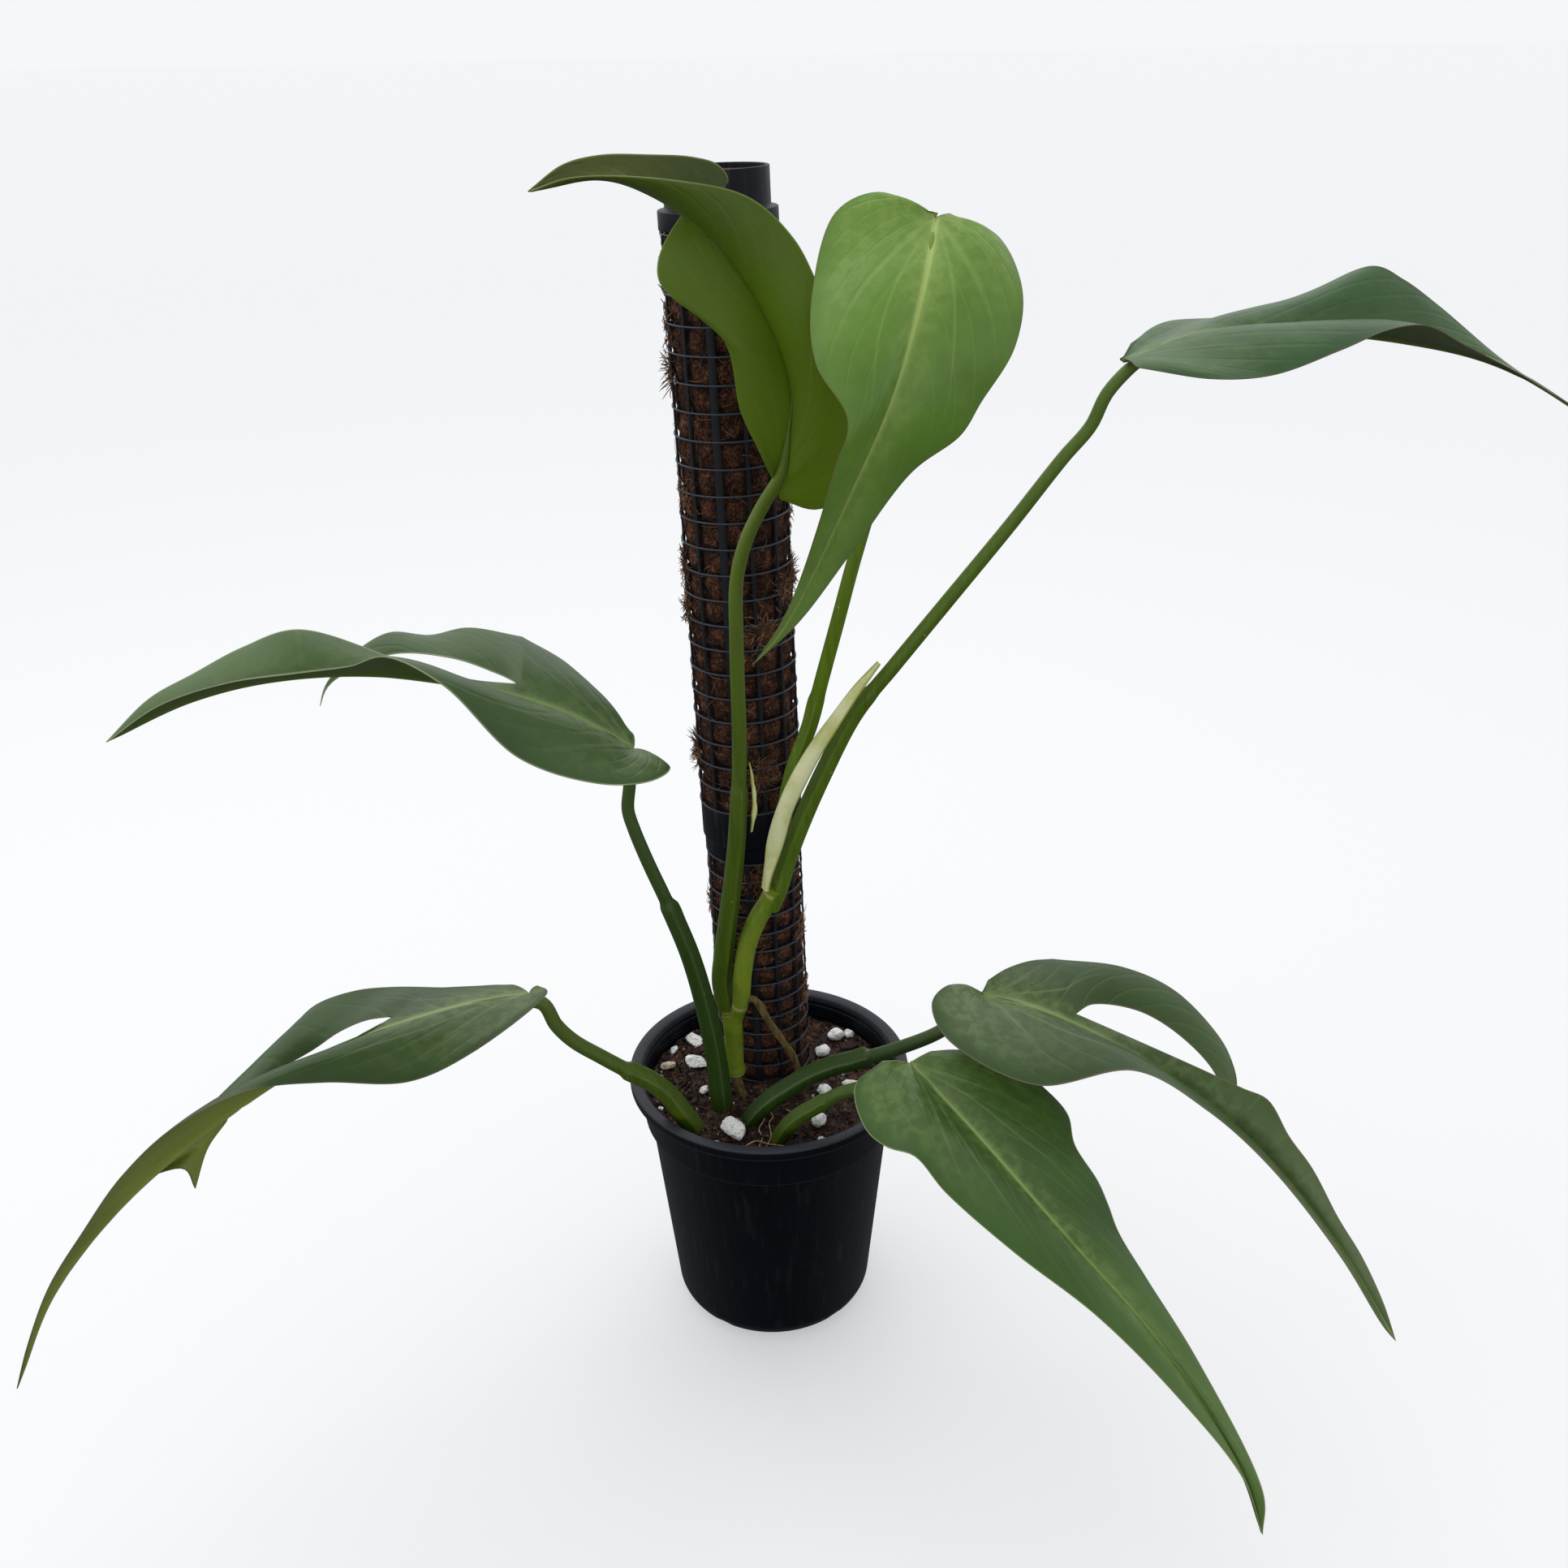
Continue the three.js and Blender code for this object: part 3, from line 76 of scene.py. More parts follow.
LEAVES = [
    {
        "name": "leaf_1",
        "turned": True,
        "stalk": {
            "route": [
                (-20, -9.5, 212), (-22.5, -11, 232), (-20, -15, 254), (-17, -18, 274), (-12, -22, 305),
                (-8, -27, 336), (-4, -31, 386), (-2, -36, 450), (0, -38, 483), (6, -41, 504), (14, -44, 520),
            ],
            "base": 6.2, "neck": 4.6, "top": 3.1, "sheath_end": 0.46, "groove": (0.9, -0.4, 0),
        },
        "midrib": [
            (21, -46, 531), (30, -52, 573), (19, -50, 611), (-5, -42, 645), (-29, -36, 662), (-50, -36, 669),
            (-82, -38, 665),
        ],
        "left": {
            "lobe": 0.12, "arch": 0.1,
            "margin": [
                (19, -50, 542), (7, -60, 569), (1, -64, 602), (-26, -62, 628), (-16, -36, 651),
                (6, -19, 664), (2, -21, 671), (-9, -24, 675), (-28, -27, 677), (-50, -31, 678),
                (-66, -35, 675),
            ],
        },
        "right": {
            "lobe": 0.3, "arch": 0.12,
            "margin": [
                (23, -44, 524), (40, -40, 517), (58, -38, 524), (64, -42, 543), (57, -56, 591),
                (44, -63, 622), (34, -58, 642), (15, -52, 659.5), (-17, -47, 667.5), (-62, -40, 670),
            ],
        },
    },
    {
        "name": "leaf_2",
        "stalk": {
            "route": [
                (9, -15, 287), (12, -12, 298), (15, -11, 320), (23, -13, 363), (34, -17, 395),
                (40, -21, 419), (49, -28, 454), (57, -33, 485), (66, -36, 516), (77, -40, 557),
                (86, -44, 594), (92, -51, 627),
            ],
            "base": 4.2, "neck": 4.1, "top": 2.7, "sheath_end": 0.34, "groove": (-0.8, -0.5, 0),
        },
        "midrib": [
            (95, -62, 649), (86, -90, 622), (72, -106, 583), (55, -104, 545), (22, -68, 468), (6, -52, 443),
        ],
        "left": {
            "lobe": 0.2, "arch": 0.1,
            "margin": [
                (101, -60, 650), (122, -60, 640), (131, -74, 619), (126, -88, 597), (111, -95, 576),
                (102, -98, 563), (81, -98, 548), (54, -87, 509), (29, -66, 469),
            ],
        },
        "right": {
            "lobe": 0.28, "arch": 0.1,
            "margin": [
                (89, -62, 653), (70, -60, 660), (52, -62, 653), (40, -80, 622), (40, -104, 597),
                (52, -118, 576), (46, -118, 555), (24, -78, 480),
            ],
        },
    },
    {
        "name": "leaf_3",
        "stalk": {
            "route": [
                (8, -19.5, 286), (13, -22, 299), (18, -22, 315), (25, -24, 335), (39, -26, 368),
                (57, -28, 404), (77, -30, 430), (105, -31, 465), (135, -33, 503), (159, -35, 535),
                (171, -37, 550), (178, -39, 566),
            ],
            "base": 5.4, "neck": 4.3, "top": 2.8, "sheath_end": 0.4, "groove": (-0.8, -0.5, 0.3),
        },
        "midrib": [
            (184, -40, 581), (219, -34, 591), (251, -28, 590), (325, -12, 578), (381, 5, 561), (447, 26, 524),
        ],
        "left": {
            "lobe": 0.2, "arch": 0.04,
            "margin": [
                (190, -28, 586), (214, 2, 590), (246, 9, 590), (276, 7, 597), (312, 5, 611),
                (328, 5, 604), (347, 6, 591), (384, 9, 563), (426, 17, 537),
            ],
        },
        "right": {
            "lobe": 0.2, "arch": 0.08,
            "margin": [
                (187, -54, 580), (216, -72, 577), (245, -70, 577), (277, -62, 585), (301, -52, 591),
                (323, -40, 590), (350, -24, 577), (398, 6, 553),
            ],
        },
    },
    {
        "name": "leaf_4",
        "stalk": {
            "route": [
                (-26, -22, 114), (-27, -24, 152), (-28, -26, 186), (-31, -29, 220), (-38, -32, 263),
                (-48, -36, 301), (-56, -39, 328), (-61.5, -42, 350), (-63.5, -43, 362), (-61, -45, 382),
            ],
            "base": 6.8, "neck": 4.9, "top": 3.0, "sheath_end": 0.63, "groove": (0.9, -0.4, 0),
        },
        "midrib": [
            (-57, -45, 398), (-88, -58, 425), (-123, -70, 444), (-173, -80, 458), (-219, -81, 458),
            (-260, -79, 449), (-311, -71, 426),
        ],
        "left": {
            "lobe": 0.2, "arch": 0.08,
            "margin": [
                (-49, -50, 396), (-38, -62, 394), (-47, -79, 395), (-70, -92, 401), (-105, -106, 423),
                (-134, -112, 464), (-158, -110, 478), (-177, -104, 472), (-205, -97, 467),
                (-238, -92, 462), (-274, -85, 450),
            ],
        },
        "right": {
            "lobe": 0.5, "arch": 0.08, "share": 0.14, "slit": 0.25,
            "margin": [(-58, -34, 401), (-71, -24, 412), (-90, -14, 433), (-113, -12, 449)],
            "strip": [
                (-132, -61, 446), (-161, -63, 457), (-210, -62, 476), (-239, -61, 468),
                (-264, -65, 457), (-287, -67, 446),
            ],
            "finger": {
                "inner": [
                    (-122, -47, 443), (-143, -42, 450), (-173, -40, 453), (-197, -46, 446),
                    (-207, -47, 439),
                ],
                "outer": [
                    (-140, -14, 456), (-159, -17, 454), (-177, -24, 459), (-190, -32, 455),
                    (-204, -44, 445), (-209, -46, 438),
                ],
                "tip": (-211, -50, 431),
            },
        },
    },
    {
        "name": "leaf_5",
        "stalk": {
            "route": [
                (-34, -39, 120), (-41, -42, 148), (-48, -44, 164), (-56, -46, 180), (-65, -49, 192.5),
                (-75, -51, 200.5), (-91, -53, 214), (-104, -55, 226), (-112, -59, 240), (-118, -62, 257),
            ],
            "base": 6.1, "neck": 5.4, "top": 3.3, "sheath_end": 0.5, "groove": (0.4, -0.3, 0.9),
        },
        "midrib": [
            (-124, -62, 264), (-162, -80, 269), (-216, -111, 268), (-262, -148, 257),
            (-308, -176, 230), (-349, -187, 185), (-382, -189, 125),
        ],
        "left": {
            "lobe": 0.16, "arch": 0.08,
            "margin": [
                (-118, -66, 271), (-111, -80, 275), (-147, -112, 262), (-177, -126, 256),
                (-215, -140, 268), (-243, -168, 285), (-270, -187, 281), (-296, -193, 260),
                (-322, -194, 228), (-347, -193, 194), (-367, -192, 157),
            ],
        },
        "right": {
            "lobe": 0.45, "arch": 0.06, "share": 0.2, "slit": 0.62,
            "margin": [(-135, -50, 262), (-159, -42, 257), (-175, -42, 257)],
            "hole": {
                "from": 0.225, "to": 0.44,
                "inner": [(-202, -101, 270), (-217, -109, 268), (-229, -117, 267)],
                "outer": [(-205, -90, 270), (-219, -94, 266), (-231, -104, 262)],
                "margin": [(-200, -50, 264), (-218, -60, 269), (-236, -72, 269), (-246, -84, 264)],
            },
            "after": [(-257, -96, 257), (-267, -108, 250), (-274, -124, 235)],
            "strip": [
                (-300, -160, 233), (-315, -166, 219), (-332, -174, 203), (-353, -182, 178),
                (-370, -186, 149),
            ],
            "finger": {
                "inner": [(-287, -156, 232)],
                "outer": [(-282, -134, 227)],
                "tip": (-288, -146, 211),
            },
        },
    },
    {
        "name": "leaf_6",
        "stalk": {
            "route": [
                (-16, -35, 120), (-11, -37, 150), (1, -38, 166), (13, -38, 175), (27, -39, 184.5),
                (41, -40, 191), (55, -41, 195), (79, -42, 203), (100, -43, 213), (114, -44, 226),
            ],
            "base": 5.4, "neck": 5.6, "top": 3.3, "sheath_end": 0.57, "groove": (-0.4, -0.3, 0.9),
        },
        "midrib": [
            (123, -45, 238), (153, -62, 238), (194, -86, 226), (249, -120, 196), (290, -155, 154),
            (319, -183, 107),
        ],
        "left": {
            "lobe": 0.5, "arch": 0.1, "share": 0.14, "slit": 0.2,
            "margin": [(127, -40, 244), (138, -34, 247), (152, -30, 249), (165, -29, 249)],
            "strip": [
                (196, -78, 230), (227, -97, 223), (252, -109, 215), (263, -117, 213), (272, -129, 198),
                (282, -139, 185), (293, -153, 164), (304, -163, 146), (313, -175, 126),
            ],
            "finger": {
                "inner": [(183, -58, 237), (210, -56, 229), (234, -62, 213), (250, -72, 195)],
                "outer": [
                    (205, -30, 242), (233, -38, 230), (255, -53, 209), (261, -61, 198),
                    (263, -69, 186),
                ],
                "tip": (254, -84, 176),
            },
        },
        "right": {
            "lobe": 0.26, "arch": 0.1,
            "margin": [
                (114, -50, 246), (103, -58, 254), (92, -75, 254), (98, -95, 245), (141, -118, 230),
                (192, -119, 237), (229, -126, 215), (259, -143, 190), (292, -166, 149),
                (313, -180, 114),
            ],
        },
    },
    {
        "name": "leaf_7",
        "stalk": {
            "route": [
                (-2, -49, 122), (4.5, -54, 147), (9, -56, 157), (13, -58, 164.5), (20, -61, 173.5),
                (31, -64, 182.5), (42, -67, 191.5), (52, -69, 196), (66, -72, 207),
            ],
            "base": 5.3, "neck": 4.4, "top": 3.1, "sheath_end": 0.53, "groove": (-0.5, -0.3, 0.8),
        },
        "midrib": [
            (80, -75, 216), (111, -120, 201), (149, -170, 176), (189, -215, 145), (220, -246, 100),
            (232, -258, 64),
        ],
        "left": {
            "lobe": 0.22, "arch": 0.1,
            "margin": [
                (92, -72, 221), (107, -72, 221), (132, -78, 218), (150, -94, 210), (161, -106, 201),
                (162, -123, 194), (171, -140, 184), (174, -152, 179), (177, -165, 172),
                (186, -187, 163), (205, -220, 140), (231, -254, 89),
            ],
        },
        "right": {
            "lobe": 0.28, "arch": 0.1,
            "margin": [
                (65, -79, 221), (49, -92, 215), (53, -115, 204), (63, -125, 200), (77, -135, 201),
                (91, -152, 191), (122, -181, 176), (158, -208, 159), (191, -232, 132), (222, -252, 95),
            ],
        },
    },
]

# Colours of each leaf, as 8-bit display values: upper face, under face, midrib, margin, stalk

LEAF_COLOURS = {
    # leaf_1's upper face is painted much darker than the other leaves' as painted shade on its curled top
    "leaf_1": ((20, 38, 6), (76, 96, 22), (140, 156, 62), (140, 150, 84), (74, 98, 10)),
    "leaf_2": ((108, 150, 58), (80, 106, 28), (184, 208, 118), (112, 106, 72), (98, 126, 12)),
    "leaf_3": ((62, 96, 56), (80, 98, 40), (116, 142, 80), (104, 92, 74), (84, 110, 10)),
    "leaf_4": ((62, 90, 44), (84, 104, 40), (130, 152, 94), (168, 178, 138), (40, 68, 6)),
    "leaf_5": ((47, 75, 25), (138, 152, 66), (148, 168, 106), (112, 98, 78), (72, 94, 6)),
    "leaf_6": ((53, 80, 34), (100, 116, 50), (156, 176, 118), (120, 104, 84), (40, 68, 4)),
    "leaf_7": ((62, 94, 38), (88, 112, 48), (152, 178, 104), (150, 160, 110), (64, 90, 8)),
}

# Share of the light that passes through a blade, where it is more than a tenth

CLEARNESS = {"leaf_1": 0.4, "leaf_2": 0.2}

# Stem: two internodes, a hanging root and a root stub

STEM = [
    {"part": "lower internode", "radius": 5.7, "rings": (0.03, 0.93),
     "swell": ((0.98, 0.06, 0.9), (0.05, 0.05, 0.8)),
     "route": [(-18.5, -9.5, 167), (-18.5, -10, 180), (-18, -10, 196), (-19, -10, 214)]},
    {"part": "upper internode", "radius": 5.4, "rings": (0.14, 0.95),
     "swell": ((1.0, 0.1, 0.4), (0.0, 0.2, -1.2)),
     "route": [
         (-16, -14, 208), (-12, -19, 224), (-10, -20, 243), (-6, -20, 263), (1, -20, 280), (7, -20.5, 290),
         (12, -22, 300),
     ]},
    {"part": "hanging root", "radius": 2.1, "rings": (), "swell": (),
     "route": [
         (-12, -19, 222), (-5, -21, 226), (4, -20, 208), (12, -17, 191), (18, -14, 175), (21, -13, 142),
     ]},
    {"part": "root stub", "radius": 3.0, "rings": (), "swell": (),
     "route": [(-18.5, -9.5, 172), (-17, -12, 160), (-14, -14, 150), (-12, -16, 138)]},
]

SHEATHS = [
    {"name": "sheath_1", "radius": 1.9, "arc": 200, "turn": 150,
     "route": [(-1.6, -27, 338), (1.4, -28, 350), (1.4, -29, 362), (-0.5, -30, 380)]},
    {"name": "sheath_3", "radius": 5.2, "arc": 220, "turn": 45,
     "route": [
         (8.6, -24.5, 301), (13.4, -27, 331), (21, -29, 356), (38, -31, 387), (57, -32, 414), (72, -33, 433),
     ]},
]

# Tufts of loose fibre: tier, direction in degrees (-90 is towards the viewer), height, count, reach

TUFTS = [
    ("lower", -92, 292, 100, 4), ("lower", -20, 250, 90, 3), ("lower", -8, 205, 90, 3),
    ("lower", -6, 170, 60, 3),
    ("lower", 184, 268, 80, 4), ("lower", 184, 222, 60, 3), ("lower", -60, 296, 90, 4),
    ("upper", 184, 574, 120, 8), ("upper", 184, 618, 90, 4), ("upper", 184, 596, 90, 4),
    ("upper", 188, 474, 170, 5), ("upper", 188, 450, 130, 6), ("upper", -6, 466, 200, 6),
    ("upper", -30, 462, 200, 5), ("upper", -66, 440, 160, 5), ("upper", 184, 364, 180, 7),
    ("upper", -72, 360, 200, 5), ("upper", -3, 500, 60, 4), ("upper", -150, 512, 80, 4),
]

# Pot

POT = {
    "height": 165, "rim": 83.7, "rim_depth": 6, "opening": 78, "neck": 77, "collar": 75.8, "collar_depth": 24,
    "shoulder": 72.4, "foot": 60.7, "corner": 14, "wall": 1.6, "holes": 5, "hole": 6.5, "hole_angle": -122,
}
STEP_HEIGHT = POT["height"] - POT["rim_depth"] - POT["collar_depth"]

# Painted highlights on the pot: pale level lines along its edges, as height and strength

POT_HIGHLIGHT_LINES = ((164.8, 0.5), (159.2, 0.35), (134.8, 0.3))

# Soil, with perlite grains (x, y, length, width, turn) and bark chips (x, y, length, turn)

SOIL = {"level": 151, "mound": 2.5, "crumb": 0.9, "edge": 73.6}

PERLITE = [
    (-48, 45, 14, 9, -50), (-60, 35, 7, 5, 80), (-62, 17, 9, 6, 20), (-45, 19, 15, 9, -15),
    (-39, -8, 7, 5, 70), (-64, -24, 4, 3, -40), (-30.5, -58, 4, 3, 0), (-20, -48, 17, 13, -60),
    (-4.5, -23.5, 8, 7, 20), (33.5, 28, 11, 8, 60), (33, -12, 9, 7, 20), (48.5, -4.5, 10, 6, 5),
    (29, -41, 10, 9, 70), (30, -56, 4, 3.5, 0), (42, 44, 11, 9, 25), (50.5, 48.5, 7, 6, 40),
]
SANDY_GRAIN = 2

BARK = [(50, 33, 12, 20), (59, 21.5, 10, -35), (-54, -1, 11, 60), (16, -48, 9, 80)]

# Pale rootlets that lie on the soil: points as (x, y, height over the soil)

ROOTLETS = [
    [(-5, -34, 1.5), (-3, -40, 2.5), (-6, -47, 2), (-4, -54, 1), (-6, -60, 0)],
    [(-1, -30, 1), (2, -37, 2.5), (0, -45, 2.5), (1, -53, 1.5), (-2, -61, 0)],
    [(26, -18, 0.5), (29, -24, 2), (27, -31, 2), (31, -36, 0.5)],
    [(10, -30, 0.5), (16, -33, 2), (21, -31, 2.5), (26, -35, 1)],
    [(-14, -60, 0), (-8, -58, 1.5), (0, -59, 2), (8, -62, 0.5)],
]

# Camera, found from the pot's ellipses and the pole in the photograph

CAMERA = {"place": (12.4, -760, 720), "dip": 25.85, "roll": -1.12, "lens": 35.22, "sensor": 36}

# Fineness of the meshes, lengths in millimetres

LATTICE = 24
WELD = 0.01
BLADE_ROWS = 120
BLADE_COLUMNS = 20
LOBE_ROWS = 30
LOBE_FAN = 0.3
FINGER_STEP = 2.6
RIPPLE = 0.5
STALK_RINGS = 110
STALK_SIDES = 24
POT_SIDES = 190
COIR_ROWS = 170
COIR_SIDES = 204
SHEATH_THICKNESS = 0.5
STALK_DETAIL = 30
SOIL_RINGS = 116
SOIL_SIDES = 300
GRAIN_GRID = (42, 60)
CHIP_GRID = (32, 72)
NET_SIDES = 96
WIRE_SIDES = 8
BAND_SIDES = 160
STEM_RINGS = 84
STEM_SIDES = 30

# Room between the pole's rings and its cores, in millimetres

PLAY = 0.35

# Where a stalk runs on into its blade: shares of the midrib, and how deep under it the stalk lies there.
# The share of the midrib at which the CAD stalk ends sets where the wings end.

JOINT_PLACES = (0.03, 0.09, 0.2)
JOINT_SINK = (3.4, 2.6, 1.3)
SOURCE_JOINT = 0.06

# Slopes of the basal veins, as the place along the midrib over the place across the half blade

BASAL_SLOPES = (0.14, 0.42)

# Half the side of the floor, in metres

FLOOR_REACH = 90.0

# Soft lights: name, place, aim, size in metres and share of the light's power

LIGHTS = [
    ("overhead", (-0.2, 0.5, 1.9), (0, 0, 0.25), 1.4, 1.0),
    ("side", (-1.5, -0.4, 1.6), (0, 0, 0.3), 1.0, 0.6),
]

# Colours of crumbs and fibres, with the share of each crumb colour

CRUMB_TONES = [(22, 14, 11), (44, 28, 20), (100, 60, 42), (150, 114, 86), (206, 196, 182)]
CRUMB_SHARES = [0.45, 0.27, 0.17, 0.085, 0.025]
FIBRE_TONES = [(44, 28, 20), (76, 50, 36), (112, 80, 58), (160, 126, 94)]
TUFT_TONES = [(96, 62, 44), (132, 92, 66), (166, 126, 92)]


# Colours and numbers


def paint(red, green, blue):
    """A display colour in steps of 0 to 255 as linear light with full alpha."""
    steps = (red, green, blue)
    linear = [((step / 255 + 0.055) / 1.055) ** 2.4 if step > 10 else step / 3295 for step in steps]
    return (*linear, 1.0)


def unit(vectors):
    """Vectors divided by their own length."""
    return vectors / np.maximum(np.linalg.norm(vectors, axis=-1, keepdims=True), 1e-12)


def ease(low, high, value):
    """Rises from 0 at low to 1 at high as 3s² - 2s³ of the share s between them."""
    share = np.clip((np.asarray(value, float) - low) / (high - low), 0, 1)
    return share * share * (3 - 2 * share)


def hump(value, middle, spread):
    """A bell: e to the minus square of the distance from the middle over the spread."""
    return np.exp(-(((value - middle) / spread) ** 2))


def noise(points, size, seed, octaves=1):
    """Smooth noise of about -1 to 1: random values on a cubic lattice of this size, eased between the
    eight corners of a point's cell. Each octave halves the lattice and the height."""
    total = 0
    for octave in range(octaves):
        lattice = np.random.default_rng(seed + octave).uniform(-1, 1, (LATTICE,) * 3)
        place = np.asarray(points, float) / (size / 2**octave)
        cell = np.floor(place).astype(int)
        part = place - cell
        part = part * part * (3 - 2 * part)
        for corner in np.ndindex(2, 2, 2):
            index = (cell + corner) % LATTICE
            weight = np.prod(np.where(np.array(corner, bool), part, 1 - part), axis=-1)
            total = total + weight * lattice[index[..., 0], index[..., 1], index[..., 2]] / 2**octave
    return total


def leaned(points):
    """Turns points about the lean's axis: what lies along the axis stays, the rest swings by the angle."""
    about, to, axis = (np.asarray(LEAN[key], float) for key in ("about", "to", "axis"))
    axis = unit(axis)
    angle = math.radians(LEAN["degrees"])
    offset = points - about
    along = (offset @ axis)[..., None] * axis
    swung = (offset - along) * math.cos(angle) + np.cross(axis, offset) * math.sin(angle)
    return along + swung + to


class Line:
    """A smooth line through points: cubics whose end slopes weigh the chords on both sides by the root
    of their lengths. Places and slopes are read at shares of the line's own length."""

    STEPS = 48

    def __init__(self, points):
        points = np.asarray(points, float)
        first = 2 * points[:1] - points[1:2]
        last = 2 * points[-1:] - points[-2:-1]
        points = np.vstack([first, points, last])
        chords = np.diff(points, axis=0)
        roots = np.sqrt(np.linalg.norm(chords, axis=1))[:, None]
        before, own, after = roots[:-2], roots[1:-1], roots[2:]
        low, high = points[1:-2], points[2:-1]
        leave = (chords[:-2] / before - (high - points[:-3]) / (before + own)) * own + chords[1:-1]
        arrive = (chords[2:] / after - (points[3:] - low) / (own + after)) * own + chords[1:-1]
        t = np.linspace(0, 1, self.STEPS, endpoint=False)[None, :, None]
        square, cube = t**2, t**3
        body = (
            low[:, None] * (2 * cube - 3 * square + 1) + leave[:, None] * (cube - 2 * square + t)
            + high[:, None] * (3 * square - 2 * cube) + arrive[:, None] * (cube - square)
        )
        self.places = np.vstack([body.reshape(-1, 3), points[-2:-1]])
        reach = np.concatenate([[0], np.cumsum(np.linalg.norm(np.diff(self.places, axis=0), axis=1))])
        self.length = reach[-1]
        self.shares = reach / self.length
        self.slopes = unit(np.gradient(self.places, self.shares, axis=0))

    def at(self, shares):
        """Places at shares of the length."""
        return np.stack([np.interp(shares, self.shares, column) for column in self.places.T], axis=-1)

    def slope(self, shares):
        """Unit directions at shares of the length."""
        return unit(np.stack([np.interp(shares, self.shares, column) for column in self.slopes.T], axis=-1))


# Meshes


class Shell:
    """The triangles of one piece, gathered from grids of points, with named values at each point."""

    def __init__(self):
        self.points = []
        self.triangles = []
        self.values = {}
        self.count = 0

    def add(self, points, triangles, values=None):
        """Adds one closed body. It is turned round if its volume, the sum of the signed pyramids from
        the origin to its triangles, is negative."""
        points = np.asarray(points, float).reshape(-1, 3)
        corners = points[triangles] - points.mean(axis=0)
        if np.einsum("ij,ij->", corners[:, 0], np.cross(corners[:, 1], corners[:, 2])) < 0:
            triangles = triangles[:, ::-1]
        self.points.append(points)
        self.triangles.append(triangles + self.count)
        self.count += len(points)
        for name, value in (values or {}).items():
            spread = np.broadcast_to(value, points.shape[:1] + np.shape(value)[1:])
            self.values.setdefault(name, []).append(spread.astype(float))

    def add_grid(self, grid, values=None, ring=False):
        """Adds a grid of rows that is closed across its columns. Its ends close to a point each, or on
        to one another in a ring."""
        rows, columns = grid.shape[:2]
        self.add(grid, grid_triangles(rows, columns, ring, True), values)

    def mesh(self, name, merge=0.002, sharp=40):
        """The gathered triangles as a mesh in metres. Points closer than the merge distance become one,
        triangles that fall flat go, and edges that turn more than the sharp angle shade sharp."""
        points = np.vstack(self.points)
        kept, triangles = welded(points, np.vstack(self.triangles), merge)
        mesh = bpy.data.meshes.new(name)
        mesh.vertices.add(len(kept))
        mesh.vertices.foreach_set("co", (points[kept] * MM).astype(np.float32).ravel())
        mesh.loops.add(triangles.size)
        mesh.loops.foreach_set("vertex_index", triangles.astype(np.int32).ravel())
        mesh.polygons.add(len(triangles))
        mesh.polygons.foreach_set("loop_start", np.arange(0, triangles.size, 3, dtype=np.int32))
        mesh.update(calc_edges=True)
        mesh.polygons.foreach_set("use_smooth", np.ones(len(triangles), bool))
        mesh.set_sharp_from_angle(angle=math.radians(sharp))
        for key, parts in self.values.items():
            value = np.concatenate(parts)[kept].astype(np.float32)
            kind, field = ("FLOAT_COLOR", "color") if value.ndim == 2 else ("FLOAT", "value")
            mesh.attributes.new(key, kind, "POINT").data.foreach_set(field, value.ravel())
        mesh.validate()
        return mesh


def welded(points, triangles, size):
    """Merges points that round to the same multiple of the size, and drops triangles that fall flat.
    Gives the points that are kept and the triangles on them."""
    keys = np.round(points / size).astype(np.int64)
    kept, stands = np.unique(keys, axis=0, return_index=True, return_inverse=True)[1:]
    triangles = stands.reshape(-1)[triangles]
    a, b, c = triangles.T
    return kept, triangles[(a != b) & (b != c) & (c != a)]


def grid_triangles(rows, columns, ring_rows=False, ring_columns=False):
    """Two triangles for each cell of a grid, in the order along, then across."""
    i, j = np.meshgrid(
        np.arange(rows if ring_rows else rows - 1), np.arange(columns if ring_columns else columns - 1),
        indexing="ij",
    )
    i, j = i.ravel(), j.ravel()
    k, m = (i + 1) % rows, (j + 1) % columns
    a, b, c, d = i * columns + j, k * columns + j, k * columns + m, i * columns + m
    return np.vstack([np.stack([a, b, c], axis=1), np.stack([a, c, d], axis=1)])


def turned(profile, sides, x=0, y=0):
    """Carries a profile of radius and height round an upright axis: a point lies at the radius times
    the cosine and sine of each angle, at its own height."""
    profile = np.asarray(profile, float)
    angles = np.linspace(0, 2 * np.pi, sides, endpoint=False)[None, :]
    radius = profile[:, :1]
    height = np.broadcast_to(profile[:, 1:2], (len(profile), sides))
    return np.stack([x + radius * np.cos(angles), y + radius * np.sin(angles), height], axis=-1)


def swung(x, y, angle):
    """Turns places about the upright axis: x times the cosine less y times the sine, and x times the
    sine plus y times the cosine."""
    return x * math.cos(angle) - y * math.sin(angle), x * math.sin(angle) + y * math.cos(angle)


def carried(route, radius, sides, shares, facing=(0, -1, 0)):
    """Carries a round section along a line: each ring lies square to the line's slope, with angle 0 on
    the side that faces the given way, at a radius that is a function of share and angle."""
    line = route if isinstance(route, Line) else Line(route)
    centre = line.at(shares)[:, None]
    along = line.slope(shares)[:, None]
    facing = np.broadcast_to(np.asarray(facing, float), along.shape)
    front = unit(facing - np.sum(facing * along, axis=-1, keepdims=True) * along)
    side = np.cross(along, front)
    angle = np.linspace(0, 2 * np.pi, sides, endpoint=False)[None, :]
    reach = np.broadcast_to(radius(np.asarray(shares)[:, None], angle), (len(shares), sides))[..., None]
    rings = centre + reach * (np.cos(angle)[..., None] * front + np.sin(angle)[..., None] * side)
    caps = [np.broadcast_to(centre[end], (1, sides, 3)) for end in (0, -1)]
    return np.concatenate([caps[0], rings, caps[1]])


